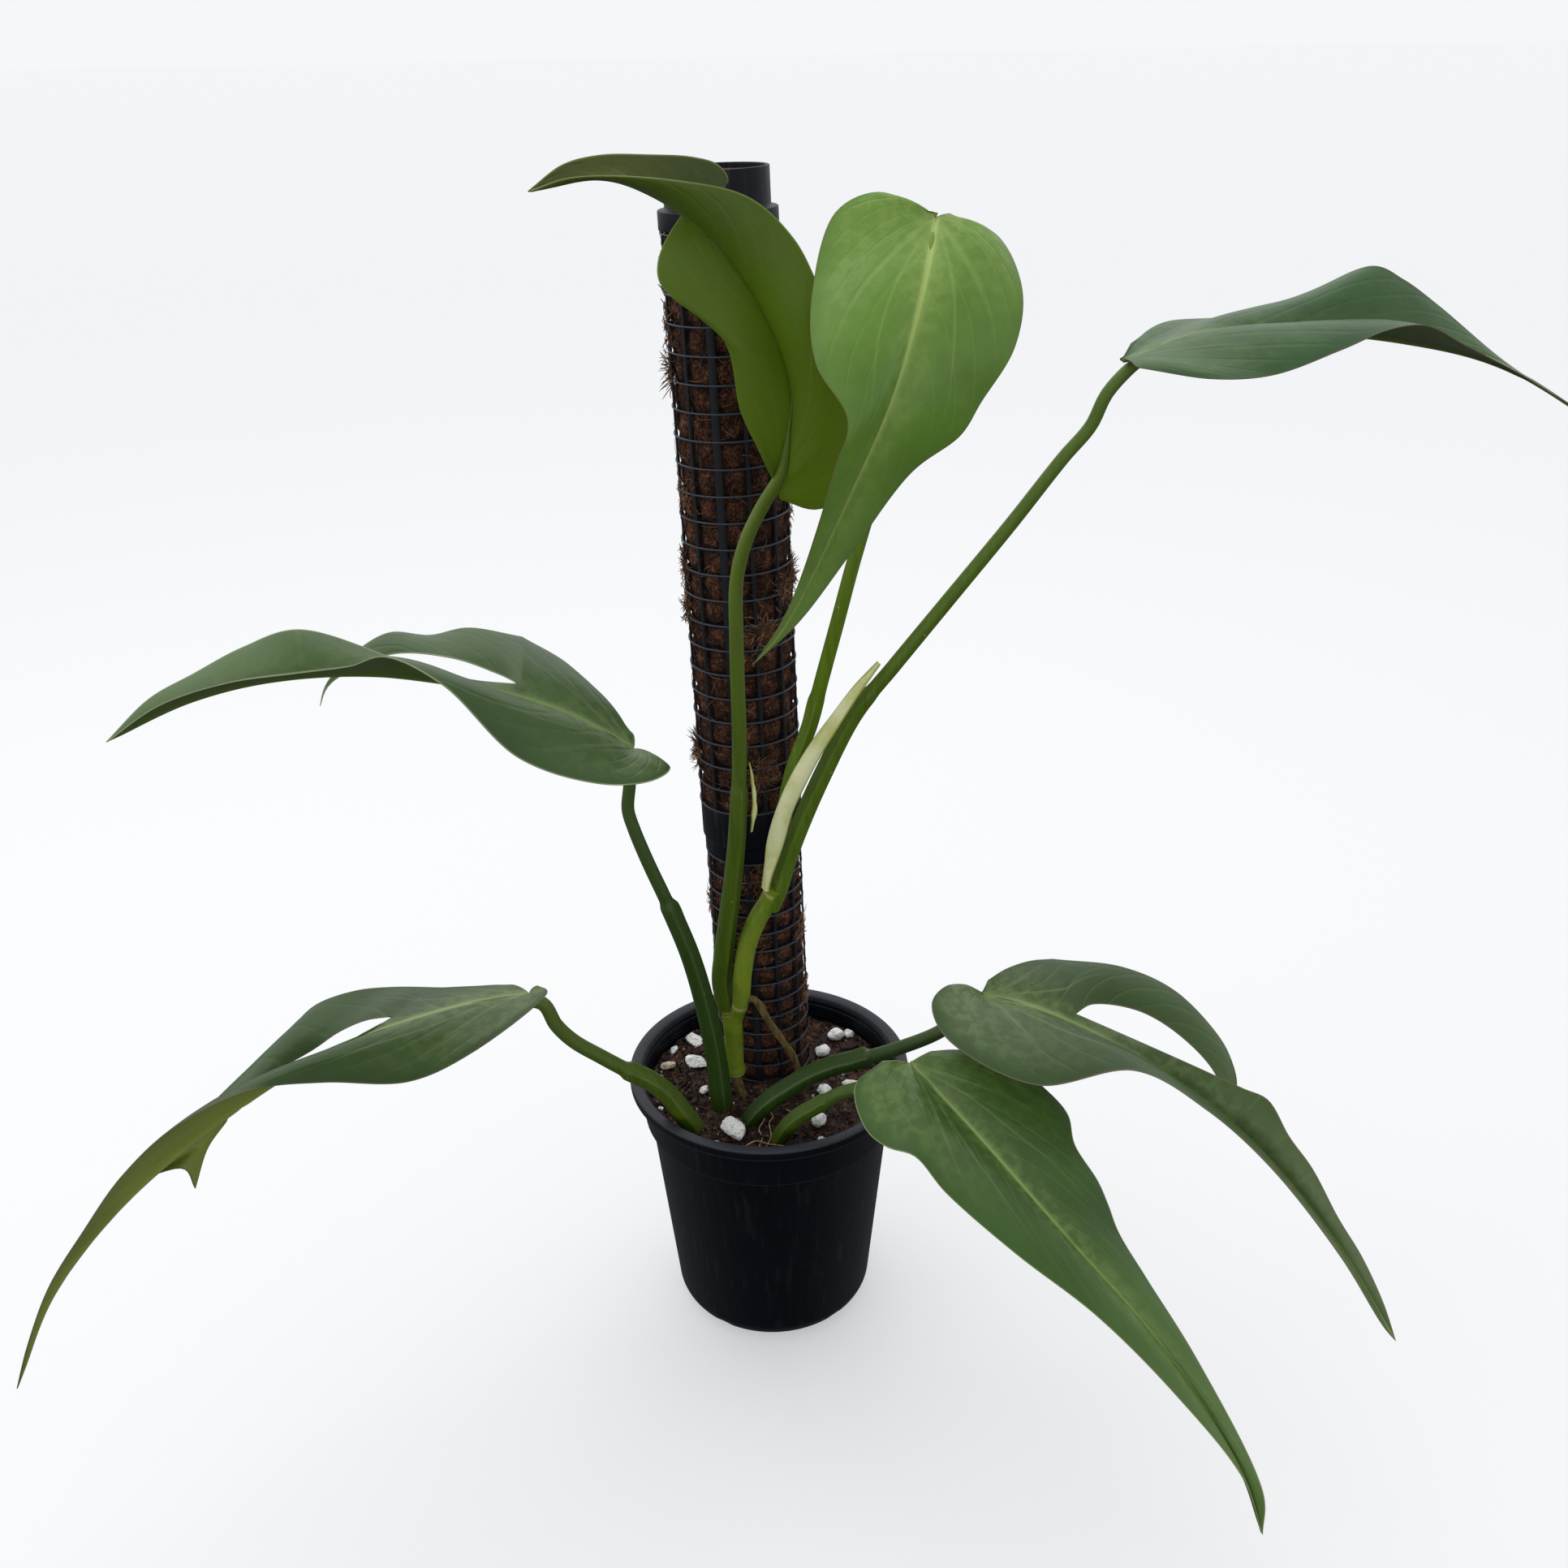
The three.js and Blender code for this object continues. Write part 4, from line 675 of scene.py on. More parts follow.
def rounded(points, radius, steps=5):
    """Rounds the inner corners of a profile: each becomes a quadratic arc that starts and ends at the
    radius, or at half of the shorter side, from the corner."""
    points = np.asarray(points, float)
    before, corner, after = points[:-2], points[1:-1], points[2:]
    backward, forward = before - corner, after - corner
    shorter = np.minimum(np.linalg.norm(backward, axis=1), np.linalg.norm(forward, axis=1))
    reach = np.minimum(shorter / 2, radius)
    start = corner + unit(backward) * reach[:, None]
    finish = corner + unit(forward) * reach[:, None]
    t = np.linspace(0, 1, steps)[None, :, None]
    arcs = start[:, None] * (1 - t) ** 2 + corner[:, None] * 2 * t * (1 - t) + finish[:, None] * t**2
    return np.vstack([points[:1], arcs.reshape(-1, points.shape[1]), points[-1:]])


def place_piece(name, mesh, finish, stands_for=()):
    """Shows a mesh as a piece that rides on the plant's one body."""
    if len(mesh.polygons) == 0:
        raise RuntimeError(f"{name} came out empty")
    piece = bpy.data.objects.new(name, mesh)
    mesh.materials.append(finish)
    bpy.context.scene.collection.objects.link(piece)
    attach(piece, "root")
    if stands_for:
        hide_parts(*stands_for)
    return piece


# Leaves


def rows_across(inner, inner_slope, outer, outer_slope, side, arch, shares):
    """Rows of points from an inner to an outer line. A row runs straight across and bulges by
    4v(1 - v) times the arch times its width along the way up, which is square to the row and to the
    mean slope of both lines."""
    across = outer - inner
    width = np.linalg.norm(across, axis=-1)
    up = unit(np.cross(inner_slope + outer_slope, across)) * (1 if side == "left" else -1)
    v = np.asarray(shares)[None, :, None]
    bulge = (4 * arch * width)[:, None, None] * v * (1 - v)
    return inner[:, None] + across[:, None] * v + up[:, None] * bulge


def settle(rows, first=None, last=None):
    """Draws the first and last rows of a patch on to given rows, and fades the shift out over the
    next eighth of the patch, so that neighbouring patches meet without a step."""
    share = np.linspace(0, 1, len(rows))[:, None, None]
    shift = 0
    if first is not None:
        shift = shift + (first - rows[0]) * (1 - ease(0, 0.12, share))
    if last is not None:
        shift = shift + (last - rows[-1]) * ease(0.88, 1, share)
    return rows + shift


def patch_values(rows, along, across, ribbed, open_sides):
    """Values for the shader: the place along and across the half blade, the distance to the midrib,
    and the distance to the nearest open edge."""
    distances = {
        "start": np.linalg.norm(rows - rows[:1], axis=-1),
        "inner": np.linalg.norm(rows - rows[:, :1], axis=-1),
        "outer": np.linalg.norm(rows - rows[:, -1:], axis=-1),
    }
    size = rows.shape[:2]
    return {
        "along": np.broadcast_to(np.asarray(along)[:, None], size).ravel(),
        "across": np.broadcast_to(np.asarray(across)[None, :], size).ravel(),
        "rib": distances["inner"].ravel() if ribbed else np.full(rows.shape[0] * rows.shape[1], 99.0),
        "edge": np.minimum.reduce([distances[key] for key in open_sides]).ravel(),
    }


def half_blade(leaf, side):
    """One half of a blade as patches of rows from the midrib to the margin: a lobe that fans out from
    the joint, whole rows, and on a cut half the strip along the midrib and the finger beyond it."""
    half = leaf[side]
    midrib = Line(leaf["midrib"])
    tip = midrib.at([1.0])
    share = half.get("share", 0)
    shares = np.linspace(0, 1, BLADE_COLUMNS + 1) ** 1.5
    split = int(np.searchsorted(shares, share)) if share else 0
    if share:
        shares[split] = share
    stations = np.linspace(0, 1, BLADE_ROWS + 1)
    for cut in (half.get("slit"), *(half.get("hole", {}).get(end) for end in ("from", "to"))):
        if cut:
            stations[round(cut * BLADE_ROWS)] = cut
    index = {station: i for i, station in enumerate(stations)}
    patches = []

    def keep(rows, along, across, ribbed, open_sides):
        patches.append((rows, patch_values(rows, along, across, ribbed, open_sides)))
        return rows

    def whole(places, outer, outer_shares):
        inner, slope = midrib.at(places), midrib.slope(places)
        return rows_across(
            inner, slope, outer.at(outer_shares), outer.slope(outer_shares), side, half["arch"], shares
        )

    margin = Line(half["margin"] if share else [*half["margin"], tip[0]])
    lobe = np.linspace(0, half["lobe"], LOBE_ROWS)
    fan = -LOBE_FAN * (1 - lobe / half["lobe"])
    keep(whole(np.zeros(LOBE_ROWS), margin, lobe), fan, shares, True, ("start", "outer"))
    if not share:
        rows = whole(stations, margin, np.linspace(half["lobe"], 1, len(stations)))
        rows[-1] = tip
        keep(rows, stations, shares, True, ("outer",))
        return patches

    first_cut = index[half["hole"]["from"] if "hole" in half else half["slit"]]
    places = stations[: first_cut + 1]
    rows = whole(places, margin, np.linspace(half["lobe"], 1, len(places)))
    root = keep(rows, places, shares, True, ("outer",))[-1]
    if "hole" in half:
        hole = half["hole"]
        places = stations[index[hole["from"]] : index[hole["to"]] + 1]
        even = np.linspace(0, 1, len(places))
        outer = Line([half["margin"][-1], *hole["margin"]])
        end = whole(places[-1:], outer, np.ones(1))[0]
        inner_edge = Line([root[split], *hole["inner"], end[split]])
        outer_edge = Line([root[split], *hole["outer"], end[split]])
        strip = rows_across(
            midrib.at(places), midrib.slope(places), inner_edge.at(even), inner_edge.slope(even), side, 0,
            shares[: split + 1] / share,
        )
        strip = settle(strip, root[: split + 1], end[: split + 1])
        keep(strip, places, shares[: split + 1], True, ("outer",))
        band = rows_across(
            outer_edge.at(even), outer_edge.slope(even), outer.at(even), outer.slope(even), side,
            half["arch"], (shares[split:] - share) / (1 - share),
        )
        keep(settle(band, root[split:], end[split:]), places, shares[split:], False, ("inner", "outer"))
        places = stations[index[hole["to"]] : index[half["slit"]] + 1]
        after = Line([hole["margin"][-1], *half["after"]])
        rows = settle(whole(places, after, np.linspace(0, 1, len(places))), first=end)
        root = keep(rows, places, shares, True, ("outer",))[-1]

    places = stations[index[half["slit"]] :]
    even = np.linspace(0, 1, len(places))
    strip_edge = Line([root[split], *half["strip"], tip[0]])
    strip = rows_across(
        midrib.at(places), midrib.slope(places), strip_edge.at(even), strip_edge.slope(even), side,
        half["arch"], shares[: split + 1] / share,
    )
    strip = settle(strip, first=root[: split + 1])
    strip[-1] = tip
    keep(strip, places, shares[: split + 1], True, ("outer",))

    finger = half["finger"]
    inner = Line([root[split], *finger["inner"], finger["tip"]])
    outer = Line([root[-1], *finger["outer"], finger["tip"]])
    even = np.linspace(0, 1, max(12, round(outer.length / FINGER_STEP)))
    rows = rows_across(
        inner.at(even), inner.slope(even), outer.at(even), outer.slope(even), side, half["arch"],
        (shares[split:] - share) / (1 - share),
    )
    rows = settle(rows, first=root[split:])
    rows[-1] = finger["tip"]
    reach = outer.length / (midrib.length * (1 - half["slit"]))
    along = half["slit"] + (1 - half["slit"]) * min(reach, 1) * even
    keep(rows, along, shares[split:], False, ("inner", "outer"))
    return patches


def blade_shell(shell, leaf, thickness, rib_height):
    """Adds a blade: the upper face, and an under face that lies below it along the vertex normals by
    the thickness, plus under the midrib a ridge that falls off as a bell and fades towards the tip.
    On a turned blade the two faces change places."""
    points, values, triangles, count = [], [], [], 0
    for side in ("left", "right"):
        for rows, own in half_blade(leaf, side):
            cells = grid_triangles(*rows.shape[:2])
            triangles.append((cells if side == "left" else cells[:, ::-1]) + count)
            points.append(rows.reshape(-1, 3))
            values.append(own)
            count += len(points[-1])
    points = np.vstack(points)
    kept, triangles = welded(points, np.vstack(triangles), WELD)
    upper = points[kept]
    values = {key: np.concatenate([own[key] for own in values])[kept] for key in values[0]}
    corners = upper[triangles]
    faces = np.cross(corners[:, 1] - corners[:, 0], corners[:, 2] - corners[:, 0])
    normals = np.zeros_like(upper)
    for corner in range(3):
        np.add.at(normals, triangles[:, corner], faces)
    normals = unit(normals)
    if leaf.get("turned"):
        normals, triangles = -normals, triangles[:, ::-1]
    fade = 1 - 0.8 * np.clip(values["along"], 0, 1)
    edge_fade = ease(0, 6, values["edge"])
    ridge = rib_height * fade * hump(values["rib"], 0, 1.1 + 0.7 * fade)
    groove = 0.3 * fade * hump(values["rib"], 0, 0.9)
    ripple = RIPPLE * edge_fade * noise(upper, 34, 5, 2) * ease(2, 14, values["rib"])
    face = upper + normals * (ripple - groove)[:, None]
    depth = thickness * (0.55 + 0.45 * ease(0, 3, values["edge"]))
    under = upper + normals * (ripple - depth - ridge)[:, None]
    half = len(upper)
    edges = np.vstack([triangles[:, [0, 1]], triangles[:, [1, 2]], triangles[:, [2, 0]]])
    forward = edges[:, 0] * half + edges[:, 1]
    backward = edges[:, 1] * half + edges[:, 0]
    rim = edges[~np.isin(forward, backward)]
    start, finish = rim.T
    body = np.vstack([
        triangles, triangles[:, ::-1] + half, np.stack([finish, start, start + half], axis=1),
        np.stack([finish, start + half, finish + half], axis=1),
    ])
    both = {key: np.concatenate([value, value]) for key, value in values.items()}
    both["under"] = np.concatenate([np.zeros(half), np.ones(half)])
    both["stalk"] = np.zeros(2 * half)
    both["wing"] = np.zeros(2 * half)
    shell.add(leaned(np.vstack([face, under])), body, both)


def stalk_shell(shell, leaf):
    """Adds a stalk: a section carried along the route whose radius falls from the base to the neck and
    then follows the bare stalk. The winged stretch has a groove between two wings, each a bell of the
    angle from the side that the groove faces, and the wings flare a little where they end."""
    stalk = leaf["stalk"]
    midrib = Line(leaf["midrib"])
    slope = midrib.slope([0.03])
    up = unit(np.cross(slope, np.subtract(leaf["left"]["margin"][1], leaf["right"]["margin"][1])))
    if leaf.get("turned"):
        up = -up
    under = midrib.at(JOINT_PLACES) - up * np.array(JOINT_SINK)[:, None]
    line = Line([*stalk["route"], *under])
    joint = 1 - JOINT_PLACES[-1] * midrib.length / line.length
    end = stalk["sheath_end"] * (joint + SOURCE_JOINT * midrib.length / line.length)
    shares = np.unique(np.concatenate([
        np.linspace(0, 1, STALK_RINGS), np.linspace(end - 0.05, end + 0.03, STALK_DETAIL),
        np.linspace(joint - 0.02, 1, STALK_DETAIL),
    ]))

    def parts(share, angle):
        turn = np.abs((angle + np.pi) % (2 * np.pi) - np.pi)
        winged = 1 - ease(end - 0.012, end + 0.006, share)
        wing = hump(turn, 0.82, 0.2) * winged
        groove = hump(turn, 0, 0.5) * (0.12 * winged + 0.06)
        flare = 1 + 0.8 * hump(share, end - 0.02, 0.02)
        return winged, wing, groove, flare

    def radius(share, angle):
        winged, wing, groove, flare = parts(share, angle)
        low = stalk["base"] + (stalk["neck"] - stalk["base"]) * (share / end)
        high = stalk["top"] + 1.6 * (1 - share)
        taper = 1 - 0.75 * ease(joint - 0.01, 1, share)
        return (high + (low - high) * winged) * (1 + 0.1 * wing * flare - groove) * taper

    rings = carried(line, radius, STALK_SIDES, shares, stalk["groove"])
    angles = np.linspace(0, 2 * np.pi, STALK_SIDES, endpoint=False)[None, :]
    with_caps = np.concatenate([shares[:1], shares, shares[-1:]])[:, None]
    winged, wing, groove, flare = parts(with_caps, angles)
    size = rings.shape[0] * rings.shape[1]
    shell.add_grid(leaned(rings), {
        "along": np.broadcast_to(with_caps, rings.shape[:2]).ravel(),
        "across": np.broadcast_to(angles / (2 * np.pi), rings.shape[:2]).ravel(),
        "rib": np.full(size, 99.0), "edge": np.full(size, 99.0), "under": np.zeros(size),
        "stalk": np.ones(size), "wing": (wing - groove).ravel(),
    })


# Shader maths


class Shade:
    """A socket of a material. Arithmetic on it adds Math nodes."""

    def __init__(self, finish, socket):
        self.finish = finish
        self.socket = socket

    def _math(self, operation, first, second=0.0):
        return self.finish.node("ShaderNodeMath", {"operation": operation}, {0: first, 1: second})

    def __add__(self, other):
        return self._math("ADD", self, other)

    def __radd__(self, other):
        return self._math("ADD", other, self)

    def __sub__(self, other):
        return self._math("SUBTRACT", self, other)

    def __rsub__(self, other):
        return self._math("SUBTRACT", other, self)

    def __mul__(self, other):
        return self._math("MULTIPLY", self, other)

    def __rmul__(self, other):
        return self._math("MULTIPLY", other, self)

    def __truediv__(self, other):
        return self._math("DIVIDE", self, other)

    def sine(self):
        return self._math("SINE", self)

    def size(self):
        return self._math("ABSOLUTE", self)

    def between(self, low, high):
        """Rises smoothly from 0 at low to 1 at high."""
        settings = {"interpolation_type": "SMOOTHSTEP"}
        return self.finish.node("ShaderNodeMapRange", settings, {0: self, 1: low, 2: high, 3: 0.0, 4: 1.0})


class Finish:
    """A material in the making, on one Principled shader. A tree that is given is wired instead."""

    def __init__(self, name, tree=None, **uniform):
        if tree:
            self.tree = tree
            return
        self.material = bpy.data.materials.new(name)
        self.material.use_nodes = True
        self.tree = self.material.node_tree
        self.tree.nodes.clear()
        self.shader = self.tree.nodes.new("ShaderNodeBsdfPrincipled")
        self.output = self.tree.nodes.new("ShaderNodeOutputMaterial")
        self.tree.links.new(self.shader.outputs[0], self.output.inputs[0])
        self.set(**uniform)

    def node(self, kind, settings=None, sockets=None, out=0):
        """Adds a node of this type, makes its settings, then fills its sockets with values or links,
        and gives back one output."""
        made = self.tree.nodes.new(kind)
        for key, value in (settings or {}).items():
            if key == "stops":
                self._stops(made.color_ramp, value)
            else:
                setattr(made, key, value)
        for key, value in (sockets or {}).items():
            if isinstance(value, Shade):
                self.tree.links.new(value.socket, made.inputs[key])
            else:
                made.inputs[key].default_value = value
        return Shade(self, made.outputs[out])

    @staticmethod
    def _stops(ramp, stops):
        while len(ramp.elements) > 1:
            ramp.elements.remove(ramp.elements[-1])
        ramp.elements[0].position, ramp.elements[0].color = stops[0]
        for position, colour in stops[1:]:
            ramp.elements.new(position).color = colour

    def value(self, name):
        """A named value of the mesh's points."""
        return self.node("ShaderNodeAttribute", {"attribute_name": name}, out=2)

    def colour(self, name):
        """A named colour of the mesh's points."""
        return self.node("ShaderNodeAttribute", {"attribute_name": name}, out=0)

    def place(self, stretch=(1, 1, 1)):
        """The point's place on the object, in metres, stretched along each axis."""
        coordinates = self.node("ShaderNodeTexCoord", out=3)
        return self.node("ShaderNodeMapping", sockets={"Vector": coordinates, "Scale": stretch})

    def grain(self, size, detail=3.0, stretch=(1, 1, 1), roughness=0.55):
        """Noise from 0 to 1 with lumps of this size in metres."""
        sockets = {"Vector": self.place(stretch), "Scale": 1 / size, "Detail": detail, "Roughness": roughness}
        return self.node("ShaderNodeTexNoise", sockets=sockets)

    def cells(self, size, out=0):
        """Distance to the nearest of points scattered about this far apart, or that point's colour."""
        sockets = {"Vector": self.place(), "Scale": 1 / size}
        return self.node("ShaderNodeTexVoronoi", sockets=sockets, out=out)

    def mix(self, first, second, factor):
        """The first colour at factor 0 and the second at 1."""
        return self.node("ShaderNodeMix", {"data_type": "RGBA"}, {0: factor, 6: first, 7: second}, out=2)

    def ramp(self, factor, stops):
        """A colour read off a row of stops."""
        return self.node("ShaderNodeValToRGB", {"stops": stops}, {0: factor})

    def set(self, **links):
        """Links or sets the shader's own sockets."""
        for key, value in links.items():
            target = self.shader.inputs[key.replace("_", " ").title().replace("Ior", "IOR")]
            if isinstance(value, Shade):
                self.tree.links.new(value.socket, target)
            else:
                target.default_value = value

    def through(self, colour, share):
        """Lets this share of the light pass through the surface in this colour."""
        passing = self.node("ShaderNodeBsdfTranslucent", sockets={0: colour})
        sockets = {0: share, 1: Shade(self, self.shader.outputs[0]), 2: passing}
        both = self.node("ShaderNodeMixShader", sockets=sockets)
        self.tree.links.new(both.socket, self.output.inputs[0])

    def relief(self, height, depth):
        """Bumps the normal by a height from 0 to 1 that stands for this depth in metres."""
        bump = self.node("ShaderNodeBump", sockets={"Strength": 1.0, "Distance": depth, "Height": height})
        self.set(normal=bump)


def leaf_finish(name, colours, clear, look):
    """A waxy blade: two faces, a pale midrib, side veins that curve towards the tip, a thin margin, and
    a stalk with paler wings. Blade and stalk are painted lighter towards the tip as painted light, and
    the stalk's groove is painted darker as painted shade."""
    upper, under, rib, margin, stalk = (paint(*colour) for colour in colours)
    finish = Finish(name, specular_ior_level=0.36)
    along = finish.value("along")
    across = finish.value("across")
    rib_distance = finish.value("rib")
    edge_distance = finish.value("edge")
    is_under = finish.value("under")
    is_stalk = finish.value("stalk")
    wing = finish.value("wing")
    cloud = finish.grain(0.045, 3.0)
    fine = finish.grain(0.0022, 4.0)

    curve = along - across * 0.1 - across * across * 0.09 + cloud * 0.03
    vein_phase = (curve * (math.pi * look.side_veins)).sine().size()
    vein = (1 - vein_phase.between(0.0, 0.22)) * (1 - across.between(0.8, 1.0)) * cloud.between(0.3, 0.6)
    minor_phase = (curve * (math.pi * look.side_veins * 5)).sine().size()
    minor = 1 - minor_phase.between(0.0, 0.7)
    fan = sum(1 - (along - across * slope).size().between(0.002, 0.012) for slope in BASAL_SLOPES)
    fan = fan * (1 - across.between(0.3, 0.85)) * across.between(0.02, 0.1)

    shaded = finish.mix(upper, darker(upper, 0.72), cloud.between(0.35, 0.75))
    near_rib = (1 - rib_distance.between(1.0, 20.0)) * (1 - along.between(0.4, 1.0))
    streaks = finish.grain(0.006, 4.0).between(0.4, 0.62)
    # Painted light: the blade is painted lighter towards the tip, to even out how the light falls along it
    shaded = finish.mix(shaded, blend(upper, rib, 0.4), along.between(0.25, 0.95) * 0.6)
    top = finish.mix(shaded, rib, near_rib * (0.1 + 0.2 * streaks))
    pale_base = (1 - along.between(-0.2, 0.32)) * (0.2 + 0.3 * streaks)
    top = finish.mix(top, blend(upper, rib, 0.6), pale_base * (1 - across.between(0.75, 1.0)))
    halo = 1 - (rib_distance / (6.0 - 5.0 * along)).between(0.0, 1.0)
    top = finish.mix(top, rib, halo * 0.45)
    top = finish.mix(top, blend(upper, rib, 0.55), vein * 0.16)
    top = finish.mix(top, blend(upper, rib, 0.7), fan * 0.3)
    top = finish.mix(top, blend(upper, rib, 0.3), minor * 0.05)
    below = finish.mix(under, darker(under, 0.78), cloud.between(0.3, 0.8))
    below = finish.mix(below, blend(under, rib, 0.5), (1 - along.between(-0.1, 0.55)) * 0.6)
    below = finish.mix(below, blend(under, rib, 0.7), vein * 0.16 + fan * 0.35)
    blade = finish.mix(top, below, is_under)
    width = 2.2 - 1.6 * along - 0.6 * is_under
    rib_mask = 1 - (rib_distance / width).between(0.35, 1.15)
    blade = finish.mix(blade, rib, rib_mask * 0.85)
    blade = finish.mix(blade, margin, (1 - edge_distance.between(0.25, 0.9)) * 0.75)
    streak = finish.grain(0.0025, 3.0, (1, 1, 0.08))
    stem_green = finish.mix(stalk, darker(stalk, 0.75), streak.between(0.3, 0.72))
    # Painted light: the stalk is painted lighter towards the blade, where the light falls on its upper bend
    stem_green = finish.mix(stem_green, blend(stalk, rib, 0.45), along.between(0.35, 0.9) * 0.5)
    stem_green = finish.mix(stem_green, blend(stalk, rib, 0.6), wing.between(0.35, 0.95) * 0.2)
    # Painted shade: the stalk's groove between its wings is painted darker
    stem_green = finish.mix(stem_green, darker(stalk, 0.5), (0 - wing).between(0.1, 0.34) * 0.15)
    base = finish.mix(blade, stem_green, is_stalk)
    speck = (1 - finish.cells(0.011).between(0.03, 0.06)) * is_stalk
    base = finish.mix(base, paint(196, 190, 150), speck * 0.5)
    finish.set(base_color=base, roughness=look.gloss + 0.14 * fine + 0.1 * is_under + 0.1 * is_stalk)
    open_share = (1 - is_stalk) * (1 - 0.2 * rib_mask) * (1 - 0.75 * along.between(0.3, 0.8))
    finish.through(paint(178, 204, 70), open_share * clear)
    quilt = vein_phase.between(0.0, 0.55) * 0.25 + streaks * 0.15
    skin = (quilt * (1 - across.between(0.85, 1.0)) + fine * 0.05) * (1 - is_stalk)
    finish.relief(skin + streak * is_stalk * 0.2, 0.0005)
    return finish.material


def darker(colour, share):
    """A colour with this share of its light."""
    return (*(value * share for value in colour[:3]), 1.0)


def blend(first, second, share):
    """A colour that is this share of the way from the first to the second."""
    return (*(a + (b - a) * share for a, b in zip(first[:3], second[:3])), 1.0)


def stem_finish():
    """Bright waxy internodes with streaks, brown scars and a dull brown root."""
    finish = Finish("stem_waxy", specular_ior_level=0.3)
    root = finish.value("root")
    ring = finish.value("ring")
    streak = finish.grain(0.002, 3.0, (1, 1, 0.1))
    cloud = finish.grain(0.02, 3.0)
    green = finish.mix(paint(114, 134, 34), paint(86, 108, 22), cloud.between(0.35, 0.7))
    green = finish.mix(green, paint(146, 164, 70), streak.between(0.55, 0.8) * 0.4)
    scar = cloud.between(0.66, 0.72) * finish.grain(0.003).between(0.45, 0.6)
    green = finish.mix(green, paint(88, 74, 36), scar * 0.6)
    green = finish.mix(green, paint(196, 190, 140), ring.between(0.35, 0.9) * 0.45)
    brown = finish.mix(paint(112, 92, 48), paint(66, 52, 26), streak.between(0.35, 0.7))
    finish.set(base_color=finish.mix(green, brown, root), roughness=0.42 + 0.3 * root)
    finish.relief(streak * 0.5 + finish.grain(0.0012) * 0.5 * root, 0.0005)
    return finish.material


def sheath_finish():
    """A dry papery skin with long fibres and a yellower edge."""
    finish = Finish("sheath_papery", specular_ior_level=0.35)
    fibre = finish.grain(0.0012, 4.0, (1, 1, 0.06))
    cloud = finish.grain(0.015)
    pale = finish.mix(paint(226, 226, 178), paint(200, 204, 132), cloud.between(0.35, 0.7))
    edge = finish.value("edge")
    tone = finish.mix(pale, paint(150, 160, 60), 1 - edge.between(0.1, 1.4))
    tone = finish.mix(tone, paint(158, 148, 96), fibre.between(0.62, 0.8) * 0.5)
    finish.set(base_color=tone, roughness=0.5)
    finish.relief(fibre, 0.0003)
    return finish.material


def plastic_finish(name, colour, pale, gloss, wear, shine, streaks=0.00012, lines=()):
    """Moulded plastic: fine scratches, upright scuffs and runs, a film of dust, dirt near the floor, and
    a pale level line at each height in metres that is given, a painted highlight along an edge."""
    finish = Finish(name, specular_ior_level=shine)
    cloud = finish.grain(0.03, 4.0)
    scuff = finish.grain(0.0016, 4.0, (1, 1, 0.07))
    scratch = finish.grain(0.0011, 5.0, (1, 0.2, 0.6))
    dust = finish.grain(0.0006, 2.0)
    tone = finish.mix(colour, darker(colour, 0.62), cloud.between(0.3, 0.75))
    worn = scuff.between(0.6, 0.78) * cloud.between(0.42, 0.7) * 0.4 + scratch.between(0.66, 0.8) * 0.25
    tone = finish.mix(tone, pale, worn * wear)
    film = dust.between(0.72, 0.8) * cloud.between(0.45, 0.65) * 0.35 * wear
    tone = finish.mix(tone, paint(150, 140, 122), film)
    level = finish.node("ShaderNodeSeparateXYZ", sockets={0: finish.place()}, out=2)
    # Painted highlights: a pale line at each given height, along the edges
    for height, strength in lines:
        tone = finish.mix(tone, pale, (1 - (level - height).size().between(0.0002, 0.0012)) * strength)
    run = finish.grain(0.0035, 3.0, (1, 1, 0.05))
    tone = finish.mix(tone, pale, run.between(0.5, 0.72) * cloud.between(0.35, 0.65) * 0.3 * wear)
    low = (1 - level.between(0.002, 0.016)) * dust.between(0.58, 0.7)
    tone = finish.mix(tone, paint(120, 118, 116), low * 0.6 * wear)
    finish.set(base_color=tone, roughness=gloss + 0.16 * scuff + 0.06 * dust)
    finish.relief(scuff * 0.6 + scratch * 0.4, streaks)
    return finish.material


def net_finish(colour):
    """Satin wires of one plastic: the level ones painted lighter as a painted highlight, the uprights darker
    as painted shade.
    """
    finish = Finish("net_plastic_satin", specular_ior_level=0.35)
    upright = finish.value("upright")
    # Painted highlight on the level rings and painted shade on the uprights, in place of one plastic colour
    tone = finish.mix(paint(58, 64, 76), darker(colour, 0.8), upright)
    finish.set(base_color=tone, roughness=0.32 + 0.3 * upright)
    finish.relief(finish.grain(0.0012), 0.0001)
    return finish.material


def soil_finish():
    """Moist dark crumbs with red-brown and beige flecks."""
    finish = Finish("potting_mix_moist", specular_ior_level=0.35)
    lump = finish.grain(0.004, 5.0, roughness=0.7)
    fleck = finish.cells(0.0022, out=1)
    fleck_tone = finish.node("ShaderNodeSeparateColor", sockets={0: fleck})
    tone = finish.ramp(lump, [(0.3, paint(13, 8, 6)), (0.5, paint(42, 27, 19)), (0.72, paint(88, 61, 44))])
    tone = finish.mix(tone, paint(104, 62, 42), fleck_tone.between(0.86, 0.9) * 0.7)
    tone = finish.mix(tone, paint(12, 8, 8), fleck_tone.between(0.2, 0.1) * 0.5)
    finish.set(base_color=tone, roughness=0.82)
    finish.relief(lump * 0.7 + finish.cells(0.0016) * 0.3, 0.0014)
    return finish.material


def crumb_finish():
    """Small crumbs in the colours that they carry."""
    finish = Finish("grit_crumbs", specular_ior_level=0.35)
    finish.set(base_color=finish.mix(finish.colour("tone"), paint(30, 20, 16), finish.grain(0.0007) * 0.5))
    finish.set(roughness=0.85)
    finish.relief(finish.grain(0.0005), 0.0003)
    return finish.material


